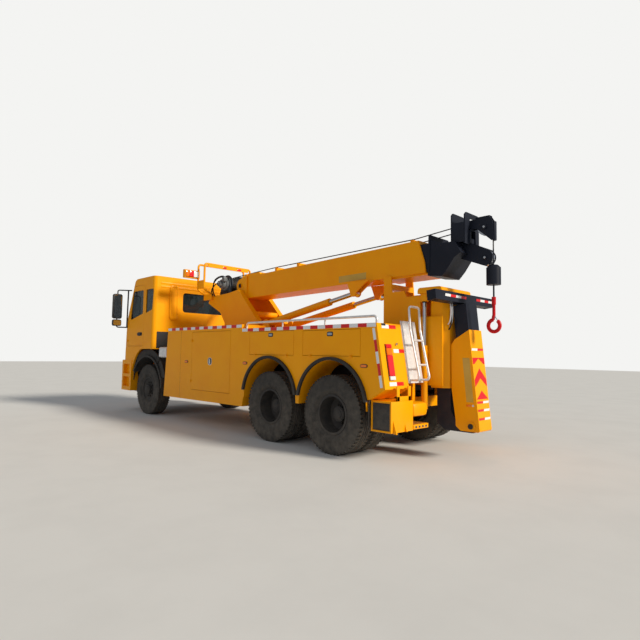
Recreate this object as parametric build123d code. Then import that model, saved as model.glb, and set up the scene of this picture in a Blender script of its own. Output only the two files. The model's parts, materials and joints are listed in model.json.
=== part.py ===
"""Heavy recovery truck: cab-over chassis on ten tyres, luffing telescopic boom and folding underlift.

Millimetres. +X is forward, +Y is the truck's left, +Z is up, and the ground is Z 0.
Drawn with X 0 at the rearmost axle, then moved so that X 0 is the middle of the whole length.
"""
import os
from math import atan2, cos, degrees, hypot, radians, sin

from build123d import *

# Overall stations along the truck, from the rearmost axle
BOGIE_SPREAD = 1350.0
WHEELBASE = 4350.0
FRONT_OVERHANG = 1360.0
FRONT_AXLE_X = BOGIE_SPREAD + WHEELBASE
NOSE_X = FRONT_AXLE_X + FRONT_OVERHANG

# Wheels and tyres
TYRE_R = 540.0
TYRE_HALF_W = 146.0
BEAD_R = 256.0
RIM_R = 255.7
RIM_WALL = 12.0
RIM_FLANGE_R = 276.0
RIM_HALF_W = 116.0
RIM_FLANGE_W = 8.0
TWIN_PITCH = 330.0
FRONT_TYRE_Y = 1020.0
REAR_INNER_TYRE_Y = 765.0
SPINDLE_R = 45.0
RUNNING_GAP = 0.05
SEAT_GAP = 0.3

# Steering
KINGPIN_Y = 850.0
KINGPIN_R = 24.0
KNUCKLE_HALF_H = 95.0
AXLE_EYE_HALF_H = 60.0

# Chassis frame
RAIL_X0 = -600.0
RAIL_X1 = NOSE_X - 360
RAIL_Z0 = 780.0
RAIL_H = 280.0
RAIL_OUT_Y = 470.0
RAIL_FLANGE = 85.0
RAIL_WALL = 10.0
SUBFRAME_H = 140.0

# Cab
CAB_REAR_X = FRONT_AXLE_X - 300
CAB_HALF_W = 1225.0
CAB_FLOOR_Z = 1420.0
CAB_ROOF_Z = 3020.0
CAB_WALL = 45.0
CAB_CORNER_R = 260.0
CAB_EDGE_R = 90.0
DOOR_X0 = FRONT_AXLE_X + 160
DOOR_X1 = FRONT_AXLE_X + 960
DOOR_Z0 = 1480.0
DOOR_Z1 = 2860.0
DOOR_GAP = 6.0
GLASS_T = 8.0
SILL_Z = 2150.0
WINDOW_TOP_Z = 2740.0

# Tool body along each side
BODY_OUT_Y = 1250.0
BODY_IN_Y = 752.0
BODY_WALL = 30.0
FRONT_BOX_TOP_Z = 1840.0
REAR_BOX_TOP_Z = 1768.0
FRONT_BOX_BOTTOM_Z = 465.0
BOX_STEP_X = 2090.0
ARCH_R = 640.0
ARCH_Z = 650.0
DECK_Z = 1765.0
DECK_T = 20.0

# Hinges of the tool doors and cab doors
HINGE_OUT = 12.0
HINGE_PIN_R = 5.0
HINGE_R = 9.5
HINGE_LEAF = 34.0
HINGE_LEN = 42.0

# Boom
LUFF_X = 3570.0
LUFF_Z = 2730.0
LUFF_PIN_R = 40.0
BOOM_HALF_W = 235.0
BOOM_WALL = 14.0
BOOM_FRONT_X = 3420.0
BOOM_TAIL_X = 2955.0
BOOM_MOUTH_X = -734.0
BOOM_BOTTOM_Z = 2462.0
BOOM_TOP_Z = 2902.0
BOOM_MOUTH_TOP_Z = 2946.0
BOOM_TAIL_TOP_Z = 2950.0
BOOM_PITCH = 0.8
INNER_GAP = 6.0
INNER_WALL = 12.0
INNER_FRONT_X = 2900.0
STAND_Y = 385.0
STAND_T = 25.0
EAR_T = 25.0
EAR_R = 140.0

# Boom head and hook
HEAD_X = -885.0
HEAD_HALF_W = 232.0
HEAD_PLATE = 20.0
NOSE_SHEAVE_X = -1650.0
NOSE_SHEAVE_Z = 2775.0
NOSE_SHEAVE_R = 92.0
TOP_SHEAVE_X = -1340.0
TOP_SHEAVE_Z = 3220.0
SHEAVE_PIN_R = 25.0
ROPE_R = 9.0
HOOK_BEND_R = 78.0
HOOK_WIRE_R = 24.0
HOOK_BEND_Z = 1765.0

# Lift cylinders of the boom
LIFT_Y = 300.0
LIFT_BASE_X = 2560.0
LIFT_BASE_Z = 1925.0
LIFT_EYE_X = 400.0
LIFT_EYE_Z = 2330.0
LIFT_BARREL_R = 62.0
LIFT_ROD_R = 38.0
LIFT_BARREL_LEN = 1560.0

# Underlift at the rear
MAST_X0 = -1200.0
MAST_X1 = -950.0
MAST_HALF_W = 250.0
MAST_Z0 = 930.0
MAST_Z1 = 2215.0
MAST_CAP_H = 80.0
MAST_TRAVEL = 280.0
TOWER_T = 24.0
TOWER_GAP = 12.0
MAST_ROD_Y = 340.0
MAST_ROD_R = 26.0
MAST_BARREL_R = 44.0
FOLD_X = -1500.0
FOLD_Z = 455.0
FOLD_PIN_R = 30.0
ARM_LEAN = 6.3
ARM_HALF_W = 165.0
ARM_WALL = 15.0
ARM_REAR_V = -98.0
INNER_ARM_HALF_W = 144.0
INNER_ARM_DEPTH = 195.0
INNER_ARM_LOW = 340.0
INNER_ARM_TOP = 1608.0
TURNTABLE_H = 22.0
CROSSBAR_HALF_L = 755.0
CROSSBAR_SIDE = 130.0
CROSSBAR_V = -31.0

AXLES = {"rear": 0.0, "middle": BOGIE_SPREAD, "front": FRONT_AXLE_X}
ROPE_X = NOSE_SHEAVE_X - NOSE_SHEAVE_R
MID_X = (NOSE_X + ROPE_X - HOOK_BEND_R - HOOK_WIRE_R) / 2
RAIL_TOP = RAIL_Z0 + RAIL_H
SUB_TOP = RAIL_TOP + SUBFRAME_H
DECK_TOP = DECK_Z + DECK_T


def box(x0, x1, y0, y1, z0, z1):
    """A block between two corners."""
    return Pos((x0 + x1) / 2, (y0 + y1) / 2, (z0 + z1) / 2) * Box(x1 - x0, y1 - y0, z1 - z0)


def outline(points, rounds):
    """A flat face from corner points, with a radius at the corners that rounds names."""
    face = make_face(Polyline(*points, close=True))
    for index, radius in rounds.items():
        corner = face.vertices().sort_by_distance((points[index][0], points[index][1], 0))[0]
        face = fillet(corner, radius)
    return face


def side_plate(points, y0, y1, rounds={}):
    """A plate whose outline is drawn in X and Z, from y0 to y1."""
    plane = Plane(origin=(0, y1, 0), x_dir=(1, 0, 0), z_dir=(0, -1, 0))
    return extrude(plane * outline(points, rounds), amount=y1 - y0)


def cross_plate(points, x0, x1, rounds={}):
    """A plate whose outline is drawn in Y and Z, from x0 to x1."""
    plane = Plane(origin=(x0, 0, 0), x_dir=(0, 1, 0), z_dir=(1, 0, 0))
    return extrude(plane * outline(points, rounds), amount=x1 - x0)


def flat_plate(points, z0, z1, rounds={}):
    """A plate whose outline is drawn in X and Y, from z0 to z1."""
    return extrude(Pos(0, 0, z0) * outline(points, rounds), amount=z1 - z0)


def bar(start, end, radius):
    """A round bar from one point to another."""
    line = Line(start, end)
    return extrude(Plane(origin=start, z_dir=line % 0) * Circle(radius), amount=line.length)


def tube_run(points, radius, bend):
    """A round tube along straight runs with one bend radius."""
    path = FilletPolyline(*points, radius=bend)
    return sweep(Plane(origin=path @ 0, z_dir=path % 0) * Circle(radius), path=path)


def both(shape):
    """The shape and its mirror image on the other side of the truck."""
    return shape + mirror(shape, about=Plane.XZ)


def other_side(shape):
    return mirror(shape, about=Plane.XZ)


def ring(points, y, x, z):
    """A turned piece: (radius, offset along the axle) points spun about the axle at x, z."""
    face = make_face(Polyline(*[(r, off, 0) for r, off in points], close=True))
    turned = revolve(face, axis=Axis.Y)
    return Pos(x, y, z) * turned


def leaf_pack(x_mid, half_len, y0, y1, z_mid, rise, thick):
    """A pack of leaf springs as one curved band, its ends higher by rise."""
    low = ThreePointArc((x_mid - half_len, z_mid + rise), (x_mid, z_mid), (x_mid + half_len, z_mid + rise))
    high = ThreePointArc(
        (x_mid + half_len, z_mid + rise + thick * 0.4),
        (x_mid, z_mid + thick),
        (x_mid - half_len, z_mid + rise + thick * 0.4),
    )
    ends = [Line(low @ 1, high @ 0), Line(high @ 1, low @ 0)]
    plane = Plane(origin=(0, y1, 0), x_dir=(1, 0, 0), z_dir=(0, -1, 0))
    return extrude(plane * make_face([low, ends[0], high, ends[1]]), amount=y1 - y0)


def hinge(at, run):
    """A butt hinge outside a left-hand face: the fixed half and the half that carries the pin.

    The pin runs upward or along the truck, the door lies behind it or above it, and at is the middle
    of the gap on the face.
    """
    x, y, z = at
    axis_y = y + HINGE_OUT
    half = HINGE_LEN / 2
    third = HINGE_LEN / 3
    outer = bar((x, axis_y, z - half), (x, axis_y, z + half), HINGE_R)
    leaf_t = 3.0
    door_leaf = box(x - HINGE_LEAF, x - 3, y, y + leaf_t, z - half, z + half) + box(
        x - 9, x, y + leaf_t - 1, axis_y, z - half, z + half
    )
    body_leaf = box(x + 3, x + HINGE_LEAF, y, y + leaf_t, z - half, z + half) + box(
        x, x + 9, y + leaf_t - 1, axis_y, z - half, z + half
    )
    middle = box(x - HINGE_LEAF - 5, x + HINGE_LEAF + 5, y - 1, axis_y + 20, z - third / 2, z + third / 2)
    clear = box(
        x - HINGE_LEAF - 5, x + HINGE_LEAF + 5, y - 1, axis_y + 20, z - third / 2 - SEAT_GAP, z + third / 2 + SEAT_GAP
    )
    pin = bar((x, axis_y, z - half), (x, axis_y, z + half), HINGE_PIN_R)
    bore = bar((x, axis_y, z - half), (x, axis_y, z + half), HINGE_PIN_R + RUNNING_GAP)
    door_round = bar((x, axis_y, z - half), (x, axis_y, z + half), HINGE_R + 1.5)
    fixed = ((outer + body_leaf) & middle) - bore
    fixed += box(x + HINGE_R + 3, x + HINGE_LEAF, y, y + leaf_t, z - half, z + half)
    moving = ((outer + door_leaf) - clear) + pin
    moving += box(x - HINGE_LEAF, x - HINGE_R - 3, y, y + leaf_t, z - half, z + half)
    if run == "along":
        turn = Pos(x, y, z) * Rot(0, 90, 0) * Pos(-x, -y, -z)
        fixed, moving = turn * fixed, turn * moving
    return fixed, moving


parts = {}

# Chassis frame: two channel rails and five cross members
rail_ys = (RAIL_OUT_Y - RAIL_FLANGE, RAIL_OUT_Y)
channel = box(RAIL_X0, RAIL_X1, *rail_ys, RAIL_Z0, RAIL_TOP) - box(
    RAIL_X0, RAIL_X1, rail_ys[0] - 1, RAIL_OUT_Y - RAIL_WALL, RAIL_Z0 + RAIL_WALL, RAIL_TOP - RAIL_WALL
)
frame = both(channel)
CROSS_XS = (-560.0, BOGIE_SPREAD / 2, 2300.0, 3600.0, CAB_REAR_X - 700, RAIL_X1 - 100)
for cross_x in CROSS_XS:
    tube = box(cross_x - 40, cross_x + 40, -RAIL_OUT_Y + RAIL_WALL, RAIL_OUT_Y - RAIL_WALL, 860, 980)
    frame += tube

# Wrecker subframe of two box beams on the rails, with outriggers that carry the tool bodies
SUB_X0 = -560.0
SUB_X1 = CAB_REAR_X - 800
sub = both(box(SUB_X0, SUB_X1, rail_ys[0], RAIL_OUT_Y, RAIL_TOP, SUB_TOP))
OUTRIGGER_XS = (2240.0, 3360.0, SUB_X1 - 120)
for out_x in OUTRIGGER_XS:
    sub += box(out_x - 40, out_x + 40, -BODY_IN_Y, BODY_IN_Y, RAIL_TOP + 30, SUB_TOP)
parts["frame_rails"] = frame + sub

# Front axle: dropped beam with an eye for each kingpin
front_x = AXLES["front"]
PAD_Z = 500.0
beam = cross_plate(
    [(-KINGPIN_Y, TYRE_R - 50), (-560, TYRE_R - 50), (-480, PAD_Z - 90), (480, PAD_Z - 90),
     (560, TYRE_R - 50), (KINGPIN_Y, TYRE_R - 50), (KINGPIN_Y, TYRE_R + 50), (560, TYRE_R + 50),
     (480, PAD_Z), (-480, PAD_Z), (-560, TYRE_R + 50), (-KINGPIN_Y, TYRE_R + 50)],
    front_x - 45, front_x + 45,
)
eye = Pos(front_x, KINGPIN_Y, TYRE_R) * Cylinder(55, 2 * AXLE_EYE_HALF_H)
eye_bore = Pos(front_x, KINGPIN_Y, TYRE_R) * Cylinder(KINGPIN_R + RUNNING_GAP, 4 * AXLE_EYE_HALF_H)
parts["front_axle"] = beam + both(eye) - both(eye_bore)

# Leaf springs: front packs on the beam's pads, rear packs over the bogie's trunnion
SPRING_T = 70.0
FRONT_SPRING_Y = 435.0
front_pack = leaf_pack(front_x, 760, FRONT_SPRING_Y - 40, FRONT_SPRING_Y + 30, PAD_Z, 150, SPRING_T)
for end in (-1, 1):
    front_pack += box(
        front_x + end * 745 - 30, front_x + end * 745 + 30,
        FRONT_SPRING_Y - 40, FRONT_SPRING_Y + 30, PAD_Z + 160, RAIL_Z0,
    )
TRUNNION_X = BOGIE_SPREAD / 2
TRUNNION_Z = 560.0
REAR_SPRING_Y0 = 490.0
REAR_SPRING_Y1 = 580.0
AXLE_TUBE_R = 70.0
rear_pack = leaf_pack(
    TRUNNION_X, TRUNNION_X + 60, REAR_SPRING_Y0, REAR_SPRING_Y1, TRUNNION_Z + 75, -22, 130
)
trunnion = bar((TRUNNION_X, RAIL_OUT_Y - 60, TRUNNION_Z), (TRUNNION_X, REAR_SPRING_Y1, TRUNNION_Z), 75)
hanger = side_plate(
    [(TRUNNION_X - 90, TRUNNION_Z - 60), (TRUNNION_X + 90, TRUNNION_Z - 60),
     (TRUNNION_X + 190, RAIL_Z0), (TRUNNION_X - 190, RAIL_Z0)],
    RAIL_OUT_Y - 60, RAIL_OUT_Y - 20,
)
parts["leaf_springs"] = both(front_pack) + both(rear_pack + trunnion + hanger)

# Driven axles: banjo housing, tubes and spindles
DUAL_MID_Y = REAR_INNER_TYRE_Y + TWIN_PITCH / 2
SPINDLE_END_Y = DUAL_MID_Y + 90
axle_pair = None
for axle_name in ("rear", "middle"):
    ax = AXLES[axle_name]
    housing = Pos(ax, 0, TYRE_R) * Sphere(190)
    nose = bar((ax, 0, TYRE_R), (ax + 330, 0, TYRE_R + 40), 95)
    tubes = bar((ax, -REAR_SPRING_Y1, TYRE_R), (ax, REAR_SPRING_Y1, TYRE_R), AXLE_TUBE_R)
    spindles = bar((ax, -SPINDLE_END_Y, TYRE_R), (ax, SPINDLE_END_Y, TYRE_R), SPINDLE_R)
    one = housing + nose + tubes + spindles
    axle_pair = one if axle_pair is None else axle_pair + one
parts["rear_axles"] = axle_pair

# Engine as one block between the rails, gearbox and shafts behind it
ENGINE_X0 = FRONT_AXLE_X - 50
ENGINE_X1 = FRONT_AXLE_X + 860
engine = box(ENGINE_X0, ENGINE_X1, -330, 330, 690, 1380)
gearbox = box(ENGINE_X0 - 700, ENGINE_X0, -190, 190, 720, 1080)
shaft_z = 800.0
shaft_front = bar((ENGINE_X0 - 700, 0, shaft_z), (BOGIE_SPREAD + 330, 0, TYRE_R + 40), 55)
shaft_rear = bar((BOGIE_SPREAD - 190, 0, TYRE_R + 30), (330, 0, TYRE_R + 40), 50)
parts["engine_and_shafts"] = engine + gearbox + (shaft_front + shaft_rear - axle_pair)

# Air tanks beside the rails and the intake box behind the cab
tank = bar((3500, 600, 640), (4250, 600, 640), 115)
tank_strap = box(3600, 3640, RAIL_OUT_Y, 600, 700, 800) + box(4110, 4150, RAIL_OUT_Y, 600, 700, 800)
intake = box(CAB_REAR_X - 570, CAB_REAR_X - 250, 480, 1190, 1240, 1460)
INTAKE_LEG_X0 = CAB_REAR_X - 500
INTAKE_LEG_X1 = CAB_REAR_X - 340
intake_leg = box(INTAKE_LEG_X0, INTAKE_LEG_X1, 400, 470, RAIL_TOP, 1300)
intake_leg += box(INTAKE_LEG_X0, INTAKE_LEG_X1, 400, 560, 1240, 1300)
intake = fillet(intake.edges().filter_by(Axis.X), 40) + intake_leg
parts["tanks_and_intake"] = both(tank + tank_strap) + intake

# Wheels
def tyre_ring(y, x):
    """One tyre: beads, bulged walls and a flat tread."""
    half = TYRE_HALF_W
    bead = RIM_HALF_W - RIM_FLANGE_W - SEAT_GAP
    profile = [
        (BEAD_R, -bead), (RIM_FLANGE_R + 2, -bead), (RIM_FLANGE_R + 60, -half + 4), (TYRE_R - 105, -half),
        (TYRE_R - 32, -half + 14), (TYRE_R, -half + 40), (TYRE_R, half - 40), (TYRE_R - 32, half - 14),
        (TYRE_R - 105, half), (RIM_FLANGE_R + 60, half - 4), (RIM_FLANGE_R + 2, bead), (BEAD_R, bead),
    ]
    return ring(profile, y, x, TYRE_R)


def rim_ring(y, x, disc_y, dish):
    """One rim with a disc at disc_y, its cone reaching the barrel at disc_y plus dish."""
    r_in = RIM_R - RIM_WALL
    inner = RIM_HALF_W - RIM_FLANGE_W
    barrel = ring(
        [(RIM_R, -inner), (RIM_FLANGE_R, -inner), (RIM_FLANGE_R, -RIM_HALF_W), (r_in, -RIM_HALF_W),
         (r_in, RIM_HALF_W), (RIM_FLANGE_R, RIM_HALF_W), (RIM_FLANGE_R, inner), (RIM_R, inner)],
        y, x, TYRE_R,
    )
    disc = ring([(80, 0), (175, 0), (r_in + 4, dish), (r_in + 4, dish + 14), (172, 14), (80, 14)], disc_y, x, TYRE_R)
    return barrel + disc


HUB_R = 105.0


def hub(y0, y1, bore_end, x):
    """A hub with a blind bore for the spindle, open at y0 and capped before y1."""
    low, high = min(y0, y1), max(y0, y1)
    solid = bar((x, low, TYRE_R), (x, high, TYRE_R), HUB_R)
    return solid - bar((x, y0, TYRE_R), (x, bore_end, TYRE_R), SPINDLE_R + RUNNING_GAP)


FRONT_DISC_Y = FRONT_TYRE_Y + 60
FRONT_HUB_Y0 = KINGPIN_Y + 90
FRONT_SPINDLE_END = FRONT_DISC_Y + 40
front_rim = rim_ring(FRONT_TYRE_Y, front_x, FRONT_DISC_Y, 30)
front_rim += hub(FRONT_HUB_Y0, FRONT_DISC_Y + 75, FRONT_SPINDLE_END + 2, front_x)
front_tyre = tyre_ring(FRONT_TYRE_Y, front_x)
parts["tyre_front_left"] = front_tyre
parts["tyre_front_right"] = other_side(front_tyre)
parts["rim_front_left"] = front_rim
parts["rim_front_right"] = other_side(front_rim)

REAR_OUTER_TYRE_Y = REAR_INNER_TYRE_Y + TWIN_PITCH
for axle_name in ("rear", "middle"):
    ax = AXLES[axle_name]
    twin_tyres = tyre_ring(REAR_INNER_TYRE_Y, ax) + tyre_ring(REAR_OUTER_TYRE_Y, ax)
    outer_rim = rim_ring(REAR_OUTER_TYRE_Y, ax, DUAL_MID_Y, 45)
    inner_rim = Pos(0, 2 * DUAL_MID_Y, 0) * mirror(outer_rim, about=Plane.XZ)
    twin_rims = outer_rim + inner_rim + hub(REAR_SPRING_Y1 + 30, DUAL_MID_Y + 150, SPINDLE_END_Y + 2, ax)
    parts[f"tyres_{axle_name}_left"] = twin_tyres
    parts[f"tyres_{axle_name}_right"] = other_side(twin_tyres)
    parts[f"rims_{axle_name}_left"] = twin_rims
    parts[f"rims_{axle_name}_right"] = other_side(twin_rims)

# Steering knuckle: fork round the axle's eye, kingpin and spindle
FORK_GAP = 4.0
fork_top = Pos(front_x, KINGPIN_Y, TYRE_R + (AXLE_EYE_HALF_H + FORK_GAP + KNUCKLE_HALF_H) / 2) * Cylinder(
    48, KNUCKLE_HALF_H - AXLE_EYE_HALF_H - FORK_GAP
)
fork_low = Pos(0, 0, 2 * TYRE_R) * mirror(fork_top, about=Plane.XY)
web = box(front_x - 45, front_x + 45, KINGPIN_Y + 62, KINGPIN_Y + 84, TYRE_R - KNUCKLE_HALF_H, TYRE_R + KNUCKLE_HALF_H)
lug_top = box(
    front_x - 45, front_x + 45, KINGPIN_Y, KINGPIN_Y + 84,
    TYRE_R + AXLE_EYE_HALF_H + FORK_GAP, TYRE_R + KNUCKLE_HALF_H,
)
lug_low = Pos(0, 0, 2 * TYRE_R) * mirror(lug_top, about=Plane.XY)
kingpin = Pos(front_x, KINGPIN_Y, TYRE_R) * Cylinder(KINGPIN_R, 2 * KNUCKLE_HALF_H)
stub = bar((front_x, KINGPIN_Y + 80, TYRE_R), (front_x, FRONT_SPINDLE_END, TYRE_R), SPINDLE_R)
knuckle = fork_top + fork_low + web + lug_top + lug_low + kingpin + stub
parts["knuckle_left"] = knuckle
parts["knuckle_right"] = other_side(knuckle)


# Cab shell
def cab_solid(inset):
    """The cab's outer form, drawn smaller by inset all round."""
    nose = NOSE_X - 90
    points = [
        (CAB_REAR_X + inset, CAB_FLOOR_Z + inset),
        (nose - inset, CAB_FLOOR_Z + inset),
        (nose - 20 - inset, SILL_Z - 60),
        (nose - 340 - inset, CAB_ROOF_Z - 130 - inset),
        (nose - 700, CAB_ROOF_Z - inset),
        (CAB_REAR_X + inset, CAB_ROOF_Z - inset),
    ]
    half = CAB_HALF_W - inset
    body = side_plate(points, -half, half)
    front_corners = body.edges().filter_by(Axis.Z)
    leaning = body.edges().filter_by(lambda e: abs(e.tangent_at(0.5).Y) < 0.1 and e.center().X > nose - 760)
    upright = leaning.filter_by(lambda e: abs(e.tangent_at(0.5).Z) > 0.6)
    body = fillet(upright, CAB_CORNER_R - inset)
    back_corners = body.edges().filter_by(Axis.Z).sort_by(Axis.X)[:2]
    body = fillet(back_corners, CAB_EDGE_R - inset * 0.5)
    return body


cab_outer = cab_solid(0)
cab_inner = cab_solid(CAB_WALL)
shell = cab_outer - cab_inner


def side_opening(points, gap, rounds):
    """A prism through both cab sides, drawn smaller by gap all round."""
    face = outline(points, rounds)
    if gap:
        face = offset(face, amount=-gap)
    plane = Plane(origin=(0, CAB_HALF_W + 100, 0), x_dir=(1, 0, 0), z_dir=(0, -1, 0))
    return extrude(plane * face, amount=2 * CAB_HALF_W + 200)


door_points = [
    (DOOR_X0, DOOR_Z0), (DOOR_X1, DOOR_Z0), (DOOR_X1, SILL_Z - 60), (DOOR_X1 - 130, DOOR_Z1 - 60),
    (DOOR_X1 - 220, DOOR_Z1), (DOOR_X0, DOOR_Z1),
]
door_rounds = {0: 60, 1: 60, 5: 60}
door_window = [
    (DOOR_X0 + 70, SILL_Z + 60), (DOOR_X1 - 90, SILL_Z - 70), (DOOR_X1 - 200, WINDOW_TOP_Z), (DOOR_X0 + 70, WINDOW_TOP_Z),
]
window_rounds = {0: 40, 1: 40, 2: 60, 3: 40}
quarter = [
    (CAB_REAR_X + 80, SILL_Z + 130), (DOOR_X0 - 70, SILL_Z + 60), (DOOR_X0 - 70, WINDOW_TOP_Z),
    (CAB_REAR_X + 50, WINDOW_TOP_Z),
]
quarter_rounds = {0: 40, 1: 30, 2: 30, 3: 40}
door_hole = side_opening(door_points, 0, door_rounds)
window_hole = side_opening(door_window, 0, window_rounds)
quarter_hole = side_opening(quarter, 0, quarter_rounds)

SCREEN_HALF_W = 1040.0
SCREEN_Z0 = SILL_Z + 10
SCREEN_Z1 = CAB_ROOF_Z - 190
screen_points = [(-SCREEN_HALF_W, SCREEN_Z0), (SCREEN_HALF_W, SCREEN_Z0), (SCREEN_HALF_W - 40, SCREEN_Z1),
                 (-SCREEN_HALF_W + 40, SCREEN_Z1)]
screen_rounds = {0: 70, 1: 70, 2: 70, 3: 70}
screen_hole = cross_plate(screen_points, NOSE_X - 560, NOSE_X + 50, screen_rounds)
REAR_WINDOW_HALF_W = 540.0
REAR_WINDOW_Z0 = 2260.0
REAR_WINDOW_Z1 = 2700.0
rear_points = [(-REAR_WINDOW_HALF_W, REAR_WINDOW_Z0), (REAR_WINDOW_HALF_W, REAR_WINDOW_Z0),
               (REAR_WINDOW_HALF_W, REAR_WINDOW_Z1), (-REAR_WINDOW_HALF_W, REAR_WINDOW_Z1)]
rear_rounds = {0: 70, 1: 70, 2: 70, 3: 70}
rear_hole = cross_plate(rear_points, CAB_REAR_X - 50, CAB_REAR_X + 120, rear_rounds)
GRILLE_HALF_W = 700.0
GRILLE_Z0 = 1500.0
GRILLE_Z1 = 1980.0
grille_hole = box(NOSE_X - 200, NOSE_X + 50, -GRILLE_HALF_W, GRILLE_HALF_W, GRILLE_Z0, GRILLE_Z1)
parts["cab_shell"] = shell - door_hole - quarter_hole - screen_hole - rear_hole - grille_hole

# Glass follows the cab's outer form, set in by a few millimetres
GLASS_IN = 14.0
glass_skin = cab_solid(GLASS_IN) - cab_solid(GLASS_IN + GLASS_T)
screen = glass_skin & cross_plate(
    [(y * (1 - 1 / 1500), z) for y, z in screen_points], NOSE_X - 560, NOSE_X + 50, screen_rounds
)
rear_glass = glass_skin & cross_plate(rear_points, CAB_REAR_X - 50, CAB_REAR_X + 120, rear_rounds)
quarter_glass = glass_skin & quarter_hole
parts["cab_glass"] = screen + rear_glass + quarter_glass

# Doors are cut from the same form
door_skin = (cab_outer - cab_inner) & side_opening(door_points, DOOR_GAP, door_rounds)
door_pair = door_skin - window_hole
door_left = door_pair & box(DOOR_X0 - 50, DOOR_X1 + 50, 0, CAB_HALF_W + 50, DOOR_Z0 - 50, DOOR_Z1 + 50)
for hinge_z in (DOOR_Z0 + 130, SILL_Z - 150):
    fixed, moving = hinge((DOOR_X1 - DOOR_GAP / 2, CAB_HALF_W, hinge_z), "up")
    cab_hinges = both(fixed) if hinge_z < SILL_Z - 200 else cab_hinges + both(fixed)
    door_left += moving
parts["cab_shell"] += cab_hinges
parts["door_left"] = door_left
parts["door_right"] = other_side(door_left)
door_glass = glass_skin & window_hole & box(DOOR_X0 - 50, DOOR_X1 + 50, 0, CAB_HALF_W + 50, DOOR_Z0, DOOR_Z1)
parts["door_glass_left"] = door_glass
parts["door_glass_right"] = other_side(door_glass)

# Inside the cab: two seats and the dashboard with its wheel
FLOOR_TOP = CAB_FLOOR_Z + CAB_WALL
SEAT_Y = 620.0
SEAT_X = CAB_REAR_X + 400
seat_base = box(SEAT_X, SEAT_X + 450, SEAT_Y - 200, SEAT_Y + 200, FLOOR_TOP, FLOOR_TOP + 230)
cushion = box(SEAT_X - 40, SEAT_X + 490, SEAT_Y - 250, SEAT_Y + 250, FLOOR_TOP + 230, FLOOR_TOP + 350)
cushion = fillet(cushion.edges(), 40)
backrest = side_plate(
    [(SEAT_X - 40, FLOOR_TOP + 330), (SEAT_X + 80, FLOOR_TOP + 330), (SEAT_X - 20, FLOOR_TOP + 960),
     (SEAT_X - 140, FLOOR_TOP + 960)],
    SEAT_Y - 240, SEAT_Y + 240, {2: 40, 3: 40},
)
headrest = box(SEAT_X - 160, SEAT_X - 70, SEAT_Y - 130, SEAT_Y + 130, FLOOR_TOP + 955, FLOOR_TOP + 1130)
seats = both(seat_base + cushion + backrest + headrest)
DASH_X0 = NOSE_X - 500
dash = side_plate(
    [(DASH_X0, FLOOR_TOP + 300), (DASH_X0 - 60, FLOOR_TOP + 520), (DASH_X0 + 40, SILL_Z - 90),
     (NOSE_X - 170, SILL_Z - 60), (NOSE_X - 170, FLOOR_TOP + 300)],
    -1080, 1080, {1: 40, 2: 40},
)
dash = dash & cab_solid(CAB_WALL + SEAT_GAP)
dash_leg = box(DASH_X0 + 150, NOSE_X - 170, -300, 300, FLOOR_TOP, FLOOR_TOP + 310)
column = bar((DASH_X0 + 80, SEAT_Y, FLOOR_TOP + 430), (DASH_X0 - 120, SEAT_Y, FLOOR_TOP + 640), 30)
wheel_plane = Plane(origin=(DASH_X0 - 120, SEAT_Y, FLOOR_TOP + 640), z_dir=(-200, 0, 210))
steering = wheel_plane * (Torus(210, 14) + Box(410, 30, 14) + Box(30, 410, 14))
parts["cab_interior"] = seats + dash + dash_leg + column + steering

# Front panel below the windscreen: grille slats in a frame
GRILLE_X = NOSE_X - 90
grille = box(GRILLE_X - 45, GRILLE_X - 6, -GRILLE_HALF_W, GRILLE_HALF_W, GRILLE_Z0, GRILLE_Z1)
SLAT_COUNT = 6
slat_pitch = (GRILLE_Z1 - GRILLE_Z0 - 60) / SLAT_COUNT
for slat in range(SLAT_COUNT):
    slot_z = GRILLE_Z0 + 30 + slat * slat_pitch
    for side in (-1, 1):
        slot_y = side * GRILLE_HALF_W / 2
        grille -= box(
            GRILLE_X - 60, GRILLE_X, slot_y - 320, slot_y + 320, slot_z + 12, slot_z + slat_pitch - 26
        )
parts["front_grille"] = grille

# Lower front: wrap-round bumper with steps below each door and the arch behind them
BUMPER_Z0 = 470.0
BUMPER_Z1 = 1160.0
STEP_X = FRONT_AXLE_X + 685
bumper_plan = [
    (STEP_X, BODY_OUT_Y - 10), (NOSE_X, BODY_OUT_Y - 10), (NOSE_X, -BODY_OUT_Y + 10), (STEP_X, -BODY_OUT_Y + 10),
    (STEP_X, -BODY_OUT_Y + 170), (NOSE_X - 130, -BODY_OUT_Y + 170), (NOSE_X - 130, BODY_OUT_Y - 170),
    (STEP_X, BODY_OUT_Y - 170),
]
bumper = flat_plate(bumper_plan, BUMPER_Z0, BUMPER_Z1, {1: 230, 2: 230, 5: 60, 6: 60})
lamp_cut = box(NOSE_X - 150, NOSE_X + 10, 700, 1080, 760, 940)
bumper -= both(lamp_cut)
bumper -= box(NOSE_X - 40, NOSE_X + 10, -560, 560, 560, 700)
bumper -= box(NOSE_X - 40, NOSE_X + 10, -600, 600, 960, 1100)
bumper -= both(box(STEP_X + 90, NOSE_X - 260, BODY_OUT_Y - 90, BODY_OUT_Y, 560, 780))
bumper -= both(box(STEP_X + 90, NOSE_X - 260, BODY_OUT_Y - 90, BODY_OUT_Y, 850, 1070))
bumper_stay = box(RAIL_X1, NOSE_X - 130, RAIL_OUT_Y - 70, RAIL_OUT_Y, 820, 1000)
bumper += both(bumper_stay)
APRON_X0 = CAB_REAR_X + 80
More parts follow.
